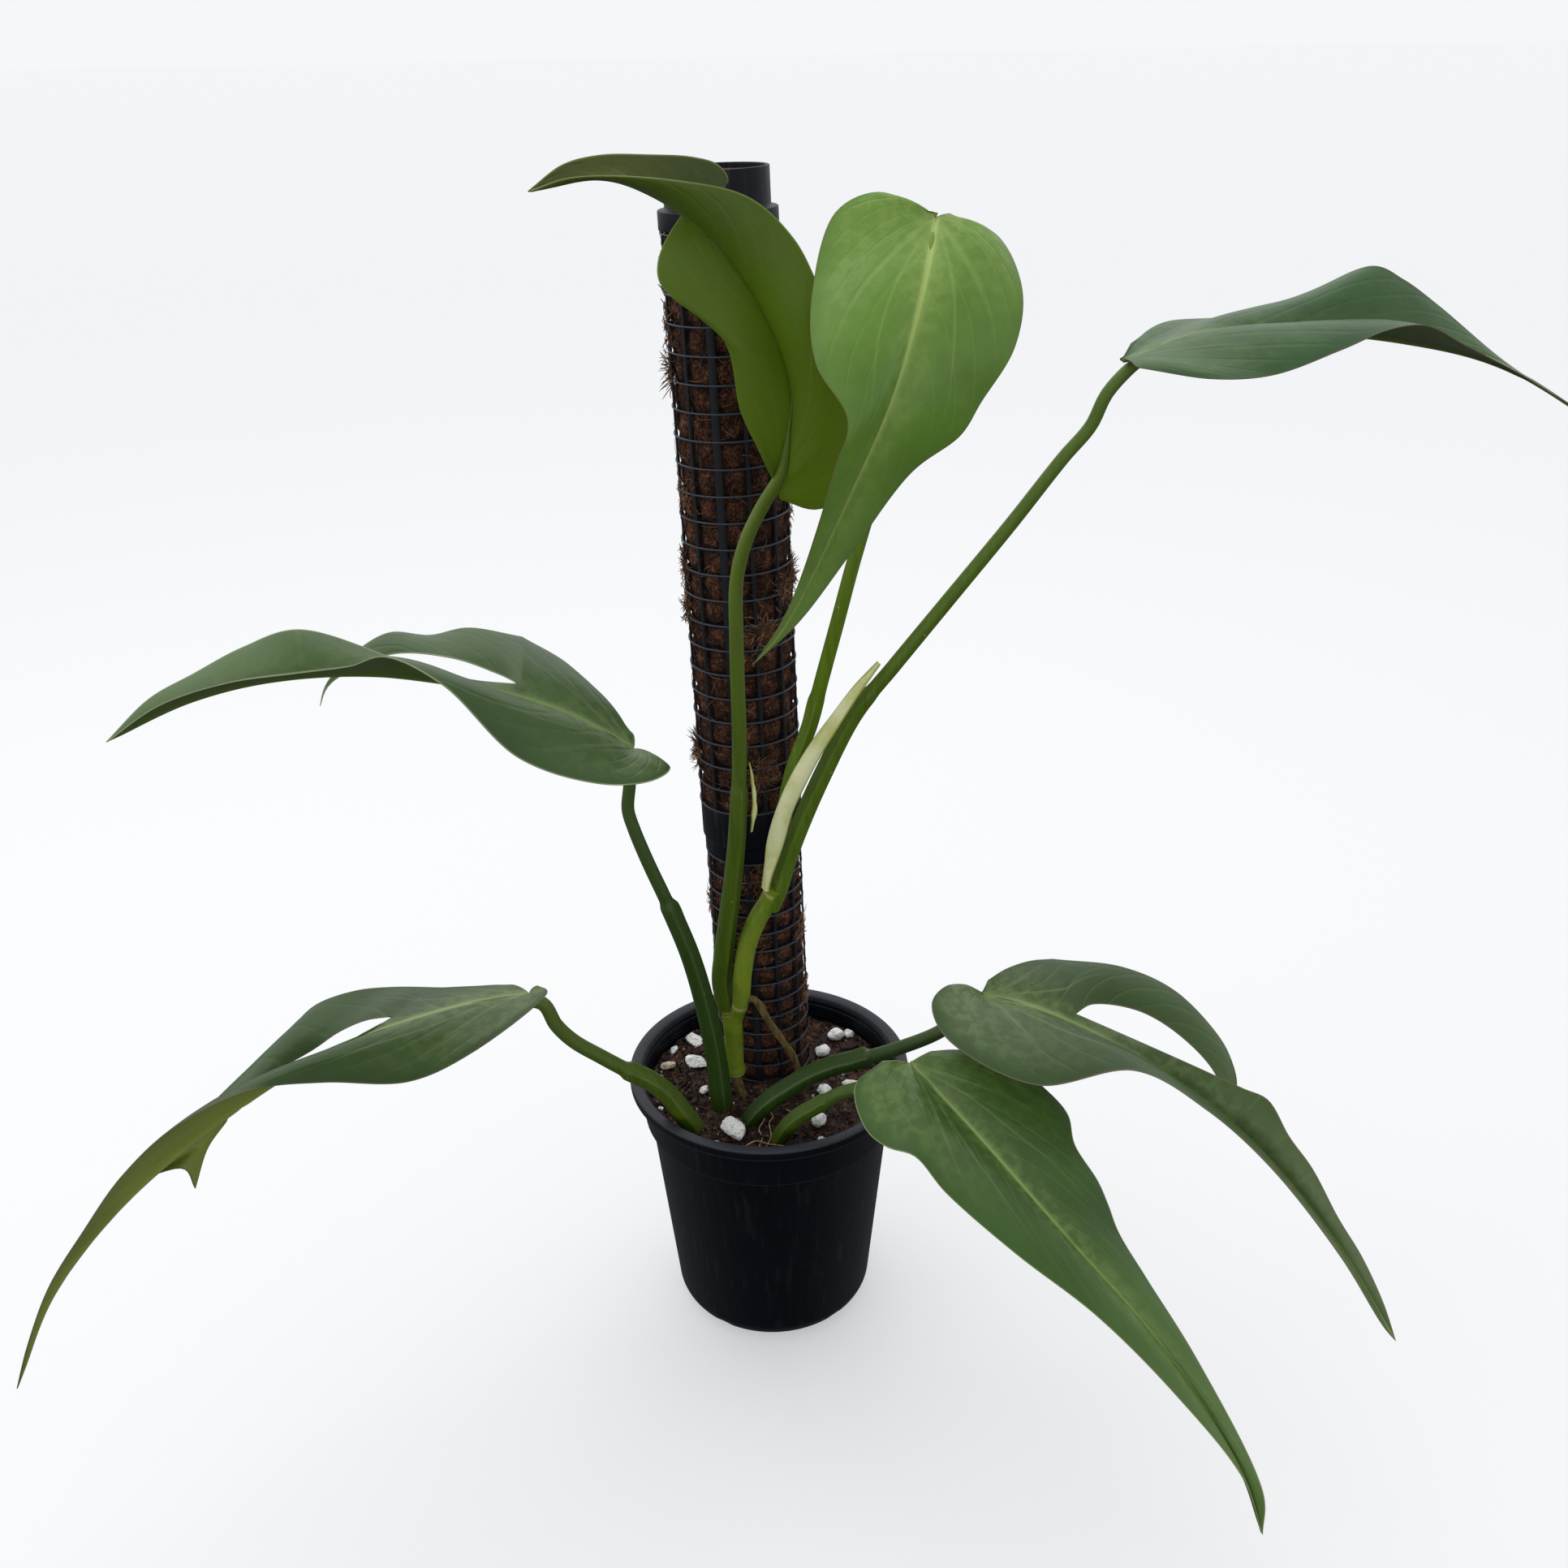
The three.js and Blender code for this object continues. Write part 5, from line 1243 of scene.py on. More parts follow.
def perlite_finish(name, pale, shade):
    """Popped glass: chalky white with dark pores and small pits."""
    finish = Finish(name, specular_ior_level=0.3)
    pore = finish.cells(0.0013)
    lump = finish.grain(0.0022, 4.0)
    dirt = finish.grain(0.0014, 4.0)
    tone = finish.mix(pale, shade, lump.between(0.45, 0.75) * 0.55)
    hole = (1 - pore.between(0.12, 0.28)) * dirt.between(0.4, 0.52)
    tone = finish.mix(tone, paint(52, 50, 48), hole * 0.9)
    tone = finish.mix(tone, paint(120, 112, 100), dirt.between(0.62, 0.72) * 0.35)
    finish.set(base_color=tone, roughness=0.92)
    finish.relief(pore.between(0.0, 0.35) * 0.7 + lump * 0.5, 0.001)
    return finish.material


def bark_finish():
    """Charred fibrous bark."""
    finish = Finish("bark_dark", specular_ior_level=0.3)
    fibre = finish.grain(0.0015, 5.0, (0.15, 1, 1))
    stops = [(0.3, paint(16, 12, 11)), (0.55, paint(44, 32, 26)), (0.75, paint(92, 66, 48))]
    finish.set(base_color=finish.ramp(fibre, stops), roughness=0.8)
    finish.relief(fibre, 0.0008)
    return finish.material


def coir_finish(name, dark, light):
    """Matted brown fibre: dark gaps, brown strands and paler dry ends, and painted shade that darkens the
    coir near the net's wires.
    """
    finish = Finish(name, specular_ior_level=0.25)
    strand = finish.grain(0.0011, 5.0, (1, 1, 0.7), 0.75)
    lump = finish.grain(0.006, 3.0)
    hollow = finish.value("hollow")
    tone = finish.ramp(
        strand * 0.7 + lump * 0.3,
        [(0.36, darker(dark, 0.15)), (0.47, darker(dark, 0.8)), (0.57, light), (0.7, paint(188, 142, 106))],
    )
    # Painted shade: near-black coir towards the net's wires
    tone = finish.mix(tone, darker(dark, 0.1), hollow * 0.95)
    finish.set(base_color=tone, roughness=0.95)
    finish.relief(strand * 0.8 + lump * 0.2, 0.0018)
    return finish.material


# Pot and what lies in it


def pot_mesh():
    """The wall's profile turned about the axis, with fine rings pressed into the inside under the rim,
    and the drain holes cut through the lower corner."""
    height, corner, wall = POT["height"], POT["corner"], POT["wall"]
    turn = np.linspace(0, np.pi / 2, 14)[1:]
    arc = [(POT["foot"] - corner * (1 - math.sin(a)), corner * (1 - math.cos(a))) for a in turn]
    outside = [
        (0, 0), (POT["foot"] - corner, 0), *arc, (POT["shoulder"], STEP_HEIGHT - 1.5),
        (POT["collar"], STEP_HEIGHT), (POT["neck"], height - POT["rim_depth"]),
        (POT["rim"], height - POT["rim_depth"]), (POT["rim"], height), (POT["opening"], height),
    ]
    under_rim = np.linspace(height - 3, STEP_HEIGHT + 2, 60)
    slope = (POT["neck"] - POT["collar"]) / (height - 3 - STEP_HEIGHT)
    rings = [(POT["neck"] - wall - slope * (height - 3 - z) + 0.22 * math.sin(2.6 * z), z) for z in under_rim]
    inside = [
        *rings, (POT["collar"] - wall, STEP_HEIGHT), (POT["shoulder"] - wall, STEP_HEIGHT - 2),
        (POT["foot"] - wall, corner), (POT["foot"] - corner * 0.7, wall * 1.6), (0, wall),
    ]
    profile = np.vstack([rounded(outside, 0.9), inside])
    shell = Shell()
    shell.add_grid(turned(profile, POT_SIDES))
    mesh = shell.mesh("pot_wall", sharp=50)
    cutters = Shell()
    for i in range(POT["holes"]):
        angle = math.radians(POT["hole_angle"] + 360 / POT["holes"] * i)
        around = np.linspace(0, 2 * np.pi, 40, endpoint=False)
        across, up = POT["hole"] * np.cos(around), 3.5 + 0.7 * POT["hole"] * np.sin(around)
        reach = np.array([POT["foot"] - 15, POT["foot"] - 15, POT["foot"] - 1, POT["foot"] - 1])[:, None]
        across = across[None, :] * np.array([0, 1, 1, 0])[:, None]
        up = 3.5 + (up - 3.5)[None, :] * np.array([0, 1, 1, 0])[:, None]
        cutters.add_grid(np.stack([*swung(reach, across, angle), up], axis=-1))
    return cut_away(mesh, cutters.mesh("drain_holes"))


def cut_away(mesh, cutter):
    """The mesh less the space of the cutter."""
    body = bpy.data.objects.new("body", mesh)
    tool = bpy.data.objects.new("tool", cutter)
    for item in (body, tool):
        bpy.context.scene.collection.objects.link(item)
    change = body.modifiers.new("cut", "BOOLEAN")
    change.operation, change.object, change.solver = "DIFFERENCE", tool, "EXACT"
    result = bpy.data.meshes.new_from_object(body.evaluated_get(bpy.context.evaluated_depsgraph_get()))
    for item in (body, tool):
        bpy.data.objects.remove(item)
    if len(result.polygons) <= len(mesh.polygons) // 2:
        raise RuntimeError("the cut lost the body")
    return result


def soil_height(x, y):
    """Height of the potting mix: a low mound that falls with the square of the distance from the
    middle, plus two crossed waves."""
    spread = np.hypot(x, y) / POT["collar"]
    waves = np.sin(x * 0.31 + 1.3) * np.cos(y * 0.27) + 0.6 * np.sin(x * 0.17 - y * 0.41)
    return SOIL["level"] + SOIL["mound"] * (0.6 - spread**2) + SOIL["crumb"] * waves


def crumbly_height(x, y):
    """The mound plus crumbs: three sizes of noise, fading out towards the pot's wall."""
    flat = np.stack([x, y, np.zeros_like(x)], axis=-1)
    inside = 1 - ease(68, 73, np.hypot(x, y))
    return soil_height(x, y) + 0.9 * inside * noise(flat, 6.5, 31, 2) + 0.45 * noise(flat, 1.7, 35, 2)


def soil_mesh():
    """A polar grid that rises to the crumbly height inside the edge and follows the pot's wall down."""
    edge = SOIL["edge"]
    clear = POT["wall"] + 0.6
    radii = np.linspace(0, 1, SOIL_RINGS)[1:] ** 0.85 * edge
    angles = np.linspace(0, 2 * np.pi, SOIL_SIDES, endpoint=False)[None, :]
    x, y = radii[:, None] * np.cos(angles), radii[:, None] * np.sin(angles)
    top = np.stack([x, y, crumbly_height(x, y)], axis=-1)
    middle = np.broadcast_to([0, 0, crumbly_height(np.zeros(1), np.zeros(1))[0]], (1, angles.size, 3))
    wall = turned([
        (edge, SOIL["level"] - 8), (edge, STEP_HEIGHT + 0.8), (POT["shoulder"] - clear, STEP_HEIGHT - 2),
        (POT["foot"] - clear, POT["corner"] + 1),
        (POT["foot"] - POT["corner"] * 0.75, POT["wall"] * 1.6 + 2.2), (0, POT["wall"] + 1.35),
    ], angles.size)
    shell = Shell()
    shell.add_grid(np.concatenate([middle, top, wall]))
    return shell.mesh("soil_bed", sharp=180)


def scattered(count, seed):
    """Random places on the soil outside the pole, thinned to under a half towards the right: x, y, and
    the random numbers that go on from there."""
    rng = np.random.default_rng(seed)
    radius = np.sqrt(rng.uniform(0, 1, count * 2)) * 72.5
    angle = rng.uniform(0, 2 * np.pi, count * 2)
    x, y = radius * np.cos(angle), radius * np.sin(angle)
    free = np.hypot(x - POLE["x"], y - POLE["y"]) > 29
    thinned = rng.uniform(0, 1, count * 2) < 0.45 + 0.55 * ease(20, -40, x + 0.4 * y)
    keep = free & thinned
    return x[keep][:count], y[keep][:count], rng


def crumbs_shell(count, seed):
    """Crumbs: twenty-sided bodies with each corner moved in or out, squashed, turned at random and
    sunk by a third in the soil, each in one colour of the mix."""
    golden = (1 + math.sqrt(5)) / 2
    corners = np.array([
        (0, a, b * golden) for a in (-1, 1) for b in (-1, 1)
    ] + [
        (a, b * golden, 0) for a in (-1, 1) for b in (-1, 1)
    ] + [
        (b * golden, 0, a) for a in (-1, 1) for b in (-1, 1)
    ])
    gaps = np.linalg.norm(corners[:, None] - corners[None], axis=-1)
    near = (gaps > 1.9) & (gaps < 2.1)
    i, j, k = np.nonzero(near[:, :, None] & near[None] & near[:, None, :])
    ordered = (i < j) & (j < k)
    faces = np.stack([i, j, k], axis=1)[ordered]
    first, second, third = corners[faces].transpose(1, 0, 2)
    outward = np.einsum("ij,ij->i", first, np.cross(second, third))
    faces = np.where(outward[:, None] > 0, faces, faces[:, ::-1])
    x, y, rng = scattered(count, seed)
    count = len(x)
    size = 0.35 + 1.25 * rng.uniform(0, 1, count) ** 3
    body = unit(corners)[None] * rng.uniform(0.7, 1.25, (count, 12, 1)) * size[:, None, None]
    body = body * rng.uniform(0.55, 1.0, (count, 1, 3))
    spin = unit(rng.normal(size=(count, 4)))
    w, v = spin[:, None, :1], spin[:, None, 1:]
    body = body + 2 * np.cross(v, np.cross(v, body) + w * body)
    place = np.stack([x, y, crumbly_height(x, y) + size * 0.3], axis=-1)
    points = (body + place[:, None]).reshape(-1, 3)
    triangles = (faces[None] + 12 * np.arange(count)[:, None, None]).reshape(-1, 3)
    tones = np.array([paint(*tone) for tone in CRUMB_TONES])
    picked = tones[rng.choice(len(tones), count, p=CRUMB_SHARES)]
    shell = Shell()
    shell.add(points, triangles, {"tone": np.repeat(picked, 12, axis=0)})
    return shell


def grain_mesh(name, grain, seed):
    """A popped grain: in each direction its surface lies at the nearest of random planes round an
    ellipsoid, roughened by noise, then scaled to length, width and 0.7 of the width, and turned."""
    x, y, length, width, turn = grain
    rng = np.random.default_rng(seed)
    polar = np.linspace(0, np.pi, GRAIN_GRID[0])[:, None]
    around = np.linspace(0, 2 * np.pi, GRAIN_GRID[1], endpoint=False)[None, :]
    way = np.stack(np.broadcast_arrays(
        np.sin(polar) * np.cos(around), np.sin(polar) * np.sin(around), np.cos(polar)), axis=-1)
    planes = unit(rng.normal(size=(18, 3)))
    facing = np.maximum(way @ planes.T, 0.05)
    reach = 1 / np.sum((facing / rng.uniform(0.78, 1.0, 18)) ** 14, axis=-1) ** (1 / 14)
    reach = np.clip(reach, 0.6, 1.12) * (1 + 0.06 * noise(way, 0.32, seed, 3))
    body = way * reach[..., None] * 0.53
    body = body * (length, width, 0.7 * width)
    body = body + way * (0.16 * noise(body, 1.1, seed + 9, 2))[..., None]
    turned_x, turned_y = swung(body[..., 0], body[..., 1], math.radians(turn))
    height = soil_height(x, y) + 0.7 * width * 0.25
    shell = Shell()
    shell.add_grid(np.stack([x + turned_x, y + turned_y, height + body[..., 2]], axis=-1))
    return shell.mesh(name, sharp=60)


def chip_mesh(name, chip, seed):
    """A curled chip: a rounded box, whose sides are a fourth-power ellipse, bent up at both ends by
    the square of the place along it, with noise stretched along its grain."""
    x, y, length, turn = chip
    polar = np.linspace(0, np.pi, CHIP_GRID[0])[:, None]
    around = np.linspace(0, 2 * np.pi, CHIP_GRID[1], endpoint=False)[None, :]

    def box(value):
        return np.sign(value) * np.abs(value) ** 0.5

    body = np.stack(np.broadcast_arrays(
        box(np.sin(polar)) * box(np.cos(around)) * length / 2,
        box(np.sin(polar)) * box(np.sin(around)) * length * 0.21, box(np.cos(polar)) * 1.2), axis=-1)
    lift = (body[..., 0] / length) ** 2 * 5
    grain = noise(body * (0.3, 1, 1), 0.9, seed, 3)
    body = body + np.stack([0.2 * grain, 0.25 * grain, 0.35 * grain + lift], axis=-1)
    turned_x, turned_y = swung(body[..., 0], body[..., 1], math.radians(turn))
    shell = Shell()
    shell.add_grid(np.stack([x + turned_x, y + turned_y, soil_height(x, y) - 0.4 + body[..., 2]], axis=-1))
    return shell.mesh(name, sharp=60)


# Pole


def coir_shell(tier, base_low, base_high):
    """The core: a cylinder that swells in each cell of the net by the root of two crossed half waves,
    one round the pole and one up it, and is matted by noise. It carries a mask of painted shade that is
    strongest near the wires."""
    sizes = POLE[tier]
    heights = np.unique(np.concatenate([
        np.linspace(base_low, base_high, 20), np.linspace(sizes["low"] - 2, sizes["high"] + 2, COIR_ROWS),
    ]))[:, None]
    angles = np.linspace(0, 2 * np.pi, COIR_SIDES, endpoint=False)[None, :]
    pitch = (sizes["high"] - sizes["low"] - 2 * POLE["wire"]) / sizes["rows"]
    start = math.radians(sizes["turn"])
    columns = np.abs(np.sin((angles - start) * POLE["columns"] / 2))
    rows = np.abs(np.sin(np.pi * (heights - sizes["low"] - POLE["wire"]) / pitch))
    low, high = sizes["low"], sizes["high"]
    netted = ease(low - 2, low + 2, heights) * (1 - ease(high - 2, high + 2, heights))
    swell = np.sqrt(columns * rows)
    radius = np.full_like(swell, sizes["fill"] - 0.5)
    x, y = radius * np.cos(angles), radius * np.sin(angles)
    flat = np.stack(np.broadcast_arrays(x, y, heights), axis=-1)
    lumps = noise(flat, 5.5, 71, 2)
    mat = noise(flat, 1.6, 75, 2)
    radius = radius + netted * (2.6 * swell - 0.9 + 0.9 * lumps + 0.45 * mat)
    if tier == "upper":
        neck = POLE["sleeve"] - POLE["sleeve_wall"] - 0.5
        radius = np.where(heights > POLE["collar_high"] - 4, neck + 0.2 * mat, radius)
    grid = np.stack(np.broadcast_arrays(
        POLE["x"] + radius * np.cos(angles), POLE["y"] + radius * np.sin(angles), heights), axis=-1)
    ends = [np.broadcast_to([POLE["x"], POLE["y"], end], (1, COIR_SIDES, 3)) for end in (base_low, base_high)]
    # Painted shade: a mask that darkens the coir where it sinks back towards the net's wires
    hollow = netted * np.clip(1.45 - 1.9 * swell - 0.5 * lumps, 0, 1)
    hollow = np.concatenate([hollow[:1], hollow, hollow[-1:]])
    shell = Shell()
    shell.add_grid(leaned(np.concatenate([ends[0], grid, ends[1]])), {"hollow": hollow.ravel()})
    return shell


def fibre_shell(shell, angle, height, tier, reach, rng, colours=FIBRE_TONES, stout=1.0):
    """Loose fibres: thin three-sided strands that start in the coir, run off in a random direction
    round it and bow outwards by a half wave plus a random lift of the free end."""
    count = len(angle)
    sizes = POLE[tier]
    steps = np.linspace(0, 1, 6)[None, :]
    length = rng.uniform(5, 15, count)[:, None] / stout**0.5
    heading = rng.uniform(0, 2 * np.pi, count)[:, None]
    bend = rng.normal(0, 0.9 * stout, count)[:, None]
    start = rng.uniform(-0.4, 0.5, count)[:, None]
    lift = (rng.uniform(0, 1, count) ** 2)[:, None] * reach[:, None]
    way = heading + bend * steps
    around = np.cumsum(np.cos(way) * length / 6, axis=1) / sizes["fill"]
    up = np.cumsum(np.sin(way) * length / 6, axis=1)
    radius = sizes["fill"] + 0.9 + start + 1.1 * np.sin(np.pi * steps) + lift * steps**1.5
    turn = angle[:, None] + around
    tall = np.clip(height[:, None] + up, sizes["low"] + 1, sizes["high"] - 1)
    line = np.stack([POLE["x"] + radius * np.cos(turn), POLE["y"] + radius * np.sin(turn), tall], axis=-1)
    slope = unit(np.gradient(line, axis=1))
    side = unit(np.cross(slope, unit(np.stack([np.cos(turn), np.sin(turn), 0 * turn], axis=-1))))
    rise = np.cross(side, slope)
    taper = np.array([[0.01, 1, 1, 0.9, 0.7, 0.01]])
    thick = (rng.uniform(0.09, 0.19, count)[:, None] * stout * taper)[..., None, None]
    corner = np.linspace(0, 2 * np.pi, 3, endpoint=False)
    ring = np.cos(corner)[:, None] * side[:, :, None] + np.sin(corner)[:, None] * rise[:, :, None]
    points = line[:, :, None] + thick * ring
    cells = grid_triangles(6, 3, False, True)
    triangles = (cells[None] + 18 * np.arange(count)[:, None, None]).reshape(-1, 3)
    caps = np.array([(0, 2, 1), (15, 16, 17)])
    caps = (caps[None] + 18 * np.arange(count)[:, None, None]).reshape(-1, 3)
    tones = np.array([paint(*tone) for tone in colours])
    tone = np.repeat(tones[rng.integers(0, len(tones), count)], 18, axis=0)
    shell.add(leaned(points.reshape(-1, 3)), np.vstack([triangles, caps]), {"tone": tone})


def fibres_mesh(name, tier, count, seed):
    """Fibres all over a tier of the pole, and tufts of longer ones at the places in the table."""
    rng = np.random.default_rng(seed)
    sizes = POLE[tier]
    shell = Shell()
    angle = rng.uniform(0, 2 * np.pi, count)
    height = rng.uniform(sizes["low"] + 2, sizes["high"] - 2, count)
    fibre_shell(shell, angle, height, tier, np.full(count, 1.0), rng)
    for tuft_tier, degrees, middle, number, reach in TUFTS:
        if tuft_tier == tier:
            angle = math.radians(degrees) + rng.normal(0, 0.1, number)
            height = middle + rng.normal(0, 3.2, number)
            fibre_shell(shell, angle, height, tier, np.full(number, float(reach)), rng, TUFT_TONES, 1.8)
    return shell.mesh(name, merge=1e-4, sharp=180)


def bar_grid(centres, sides_first, sides_second, half_first, half_second):
    """A rounded bar: at each centre a ring of a fourth-power ellipse over two directions."""
    turn = np.linspace(0, 2 * np.pi, WIRE_SIDES, endpoint=False)
    first = np.sign(np.cos(turn)) * np.abs(np.cos(turn)) ** 0.6 * half_first
    second = np.sign(np.sin(turn)) * np.abs(np.sin(turn)) ** 0.6 * half_second
    reach = first[None, :, None] * sides_first[:, None] + second[None, :, None] * sides_second[:, None]
    return centres[:, None] + reach


def net_shell(tier, wire):
    """The net: level rings at an even pitch and upright bars, one of them a wider seam."""
    sizes = POLE[tier]
    shell = Shell()
    around = np.linspace(0, 2 * np.pi, NET_SIDES, endpoint=False)
    out = np.stack([np.cos(around), np.sin(around), 0 * around], axis=-1)
    up = np.broadcast_to([0.0, 0.0, 1.0], out.shape)
    pitch = (sizes["high"] - sizes["low"] - 2 * POLE["wire"]) / sizes["rows"]
    for row in range(sizes["rows"] + 1):
        centres = out * sizes["net"] + (POLE["x"], POLE["y"], sizes["low"] + POLE["wire"] + pitch * row)
        ring = bar_grid(centres, out, up, wire, wire)
        shell.add_grid(leaned(ring), {"upright": 0.0}, ring=True)
    tall = np.linspace(sizes["low"], sizes["high"], sizes["rows"] * 2 + 1)
    for column in range(POLE["columns"]):
        angle = math.radians(sizes["turn"] + 360 / POLE["columns"] * column)
        outward = np.array([math.cos(angle), math.sin(angle), 0.0])
        sideways = np.array([-math.sin(angle), math.cos(angle), 0.0])
        centres = outward * (sizes["net"] - 0.1) + np.stack(
            [np.full_like(tall, POLE["x"]), np.full_like(tall, POLE["y"]), tall], axis=-1)
        half = POLE["seam" if column == 0 else "bar"]
        bar = bar_grid(
            centres, np.broadcast_to(outward, centres.shape), np.broadcast_to(sideways, centres.shape),
            wire, half,
        )
        ends = [np.broadcast_to(centres[end], (1, WIRE_SIDES, 3)) for end in (0, -1)]
        shell.add_grid(leaned(np.concatenate([ends[0], bar, ends[1]])), {"upright": 1.0})
    return shell


def band_mesh(name, profile):
    """A ring: its rounded profile turned about the pole's axis and closed on to itself."""
    points = np.asarray(profile, float)
    looped = np.vstack([points[-1:], points, points[:1]])
    smooth = rounded(looped, 0.55, 4)[1:-1]
    shell = Shell()
    shell.add_grid(leaned(turned(smooth, BAND_SIDES, POLE["x"], POLE["y"])), ring=True)
    return shell.mesh(name, sharp=50)


# Stem and sheaths


def stem_mesh():
    """Each part is a round section along its route, with a swelling for each bell in its table."""
    shell = Shell()
    for part in STEM:
        is_root = "root" in part["part"]
        shares = np.linspace(0, 1, STEM_RINGS)

        def radius(share, angle, part=part, is_root=is_root):
            swell = sum(height * hump(share, at, spread) for at, spread, height in part["swell"])
            lines = 0.12 * hump(share, 0.93, 0.008) if part["swell"] else 0
            knotty = 0.16 * np.sin(share * 31 + 2 * angle)
            even = 0.05 * np.sin(3 * angle + share * 4)
            return part["radius"] + swell + lines + (knotty if is_root else even)

        grid = carried(part["route"], radius, STEM_SIDES, shares)
        with_caps = np.concatenate([shares[:1], shares, shares[-1:]])
        ring = sum(hump(with_caps, at, 0.016) for at in part["rings"]) if part["rings"] else 0 * with_caps
        size = grid.shape[:2]
        shell.add_grid(leaned(grid), {
            "root": np.full(size[0] * size[1], float(is_root)),
            "ring": np.broadcast_to(ring[:, None], size).ravel(),
        })
    return shell.mesh("stem_grown")


def sheath_mesh(sheath):
    """A trough: an arc of a circle carried along the route, narrower towards both ends, with a second
    arc inside it for the inner face."""
    line = Line(sheath["route"])
    shares = np.linspace(0, 1, 90)
    centre, along = line.at(shares)[:, None], line.slope(shares)[:, None]
    side = unit(np.cross((0, -1, 0), along))
    front = unit(np.cross(along, side))
    opening = (1 - 0.85 * shares**1.5) * (0.3 + 0.7 * ease(0, 0.3, shares))
    spread = math.radians(sheath["arc"]) * opening[:, None]
    across = np.concatenate([np.linspace(-0.5, 0.5, 24), np.linspace(0.5, -0.5, 24)])[None, :]
    angle = math.radians(sheath["turn"]) + spread * across
    depth = np.where(np.arange(48) < 24, 0.0, SHEATH_THICKNESS)[None, :]
    wave = 0.25 * np.sin(shares[:, None] * 21 + across * 9)
    radius = sheath["radius"] - depth + wave
    grid = centre + radius[..., None] * (np.cos(angle)[..., None] * side + np.sin(angle)[..., None] * front)
    ends = [np.broadcast_to(grid[end].mean(axis=0), (1, 48, 3)) for end in (0, -1)]
    edge = (0.5 - np.abs(across)) * spread * sheath["radius"]
    edge = np.concatenate([edge[:1], edge, edge[-1:]])
    shell = Shell()
    shell.add_grid(leaned(np.concatenate([ends[0], grid, ends[1]])), {"edge": edge.ravel()})
    return shell.mesh(sheath["name"] + "_dry", sharp=50)


# Settings


class LeafLook(bpy.types.PropertyGroup):
    """Sizes and gloss of the leaves."""

    thickness: bpy.props.FloatProperty(
        name="Thickness", description="Thickness of a blade", default=0.0008, min=0.0003, unit="LENGTH")
    rib_height: bpy.props.FloatProperty(
        name="Midrib", description="How far the midrib stands out under the joint", default=0.0013,
        unit="LENGTH")
    side_veins: bpy.props.IntProperty(
        name="Side veins", description="Main side veins along each half of a blade", default=13, min=4)
    gloss: bpy.props.FloatProperty(
        name="Roughness", description="Roughness of the waxy skin", default=0.34, min=0, max=1,
        subtype="FACTOR")


class PoleLook(bpy.types.PropertyGroup):
    """Sizes and colours of the climbing pole."""

    wire: bpy.props.FloatProperty(
        name="Wire", description="Half the thickness of the net's wires", default=0.0005, unit="LENGTH")
    plastic: bpy.props.FloatVectorProperty(
        name="Plastic", description="Colour of the net and the rings", default=paint(13, 16, 27), size=4,
        subtype="COLOR")
    coir_dark: bpy.props.FloatVectorProperty(
        name="Coir, dark", description="Colour of the shaded fibre", default=paint(52, 31, 22), size=4,
        subtype="COLOR")
    coir_light: bpy.props.FloatVectorProperty(
        name="Coir, light", description="Colour of the dry fibre", default=paint(112, 71, 50), size=4,
        subtype="COLOR")
    fibres: bpy.props.IntProperty(
        name="Loose fibres", description="Loose fibres on the upper tier", default=1400, min=0)


class PotLook(bpy.types.PropertyGroup):
    """Colours and wear of the pot."""

    plastic: bpy.props.FloatVectorProperty(
        name="Plastic", description="Colour of the pot", default=paint(2, 7, 18), size=4, subtype="COLOR")
    scuff: bpy.props.FloatVectorProperty(
        name="Scuffs", description="Colour of scratches and scuffs", default=paint(70, 73, 82), size=4,
        subtype="COLOR")
    wear: bpy.props.FloatProperty(
        name="Wear", description="How worn the plastic is", default=0.5, min=0, max=1, subtype="FACTOR")


class MixLook(bpy.types.PropertyGroup):
    """What lies in the pot."""

    crumbs: bpy.props.IntProperty(
        name="Crumbs", description="Small crumbs on the potting mix", default=4000, min=0)
    perlite: bpy.props.FloatVectorProperty(
        name="Perlite", description="Colour of the white grains", default=paint(250, 250, 248), size=4,
        subtype="COLOR")


class StageLook(bpy.types.PropertyGroup):
    """Floor and light."""

    floor: bpy.props.FloatVectorProperty(
        name="Floor", description="Colour of the floor", default=paint(188, 189, 190), size=4,
        subtype="COLOR")
    glow: bpy.props.FloatProperty(
        name="Glow", description="Strength of the light that shines through the floor", default=0.44, min=0)
    sky: bpy.props.FloatProperty(
        name="Sky", description="Strength of the soft light from above", default=0.96, min=0)
    horizon: bpy.props.FloatProperty(
        name="Horizon", description="Strength of the light near the horizon", default=0.94, min=0)
    fill: bpy.props.FloatProperty(
        name="Fill", description="Strength that is added near the horizon in front", default=0.68, min=0)
    ground: bpy.props.FloatProperty(
        name="Ground", description="Strength of the light from below", default=0.12, min=0)
    key: bpy.props.FloatProperty(
        name="Overhead light", description="Power of the soft light over the plant", default=6, min=0,
        unit="POWER")


SETTINGS = {
    "monstera_leaves": LeafLook, "monstera_pole": PoleLook, "monstera_pot": PotLook, "monstera_mix": MixLook,
    "monstera_stage": StageLook,
}


# Operators


class BuildPot(bpy.types.Operator):
    """Builds the nursery pot"""

    bl_idname = "monstera.build_pot"
    bl_label = "Pot"

    def execute(self, context):
        look = context.scene.monstera_pot
        finish = plastic_finish(
            "pot_plastic_worn", tuple(look.plastic), tuple(look.scuff), gloss=0.34, wear=look.wear, shine=0.2,
            streaks=0.0003, lines=[(height * MM, strength) for height, strength in POT_HIGHLIGHT_LINES],
        )
        place_piece("pot_shell", pot_mesh(), finish, ["pot"])
        return {"FINISHED"}


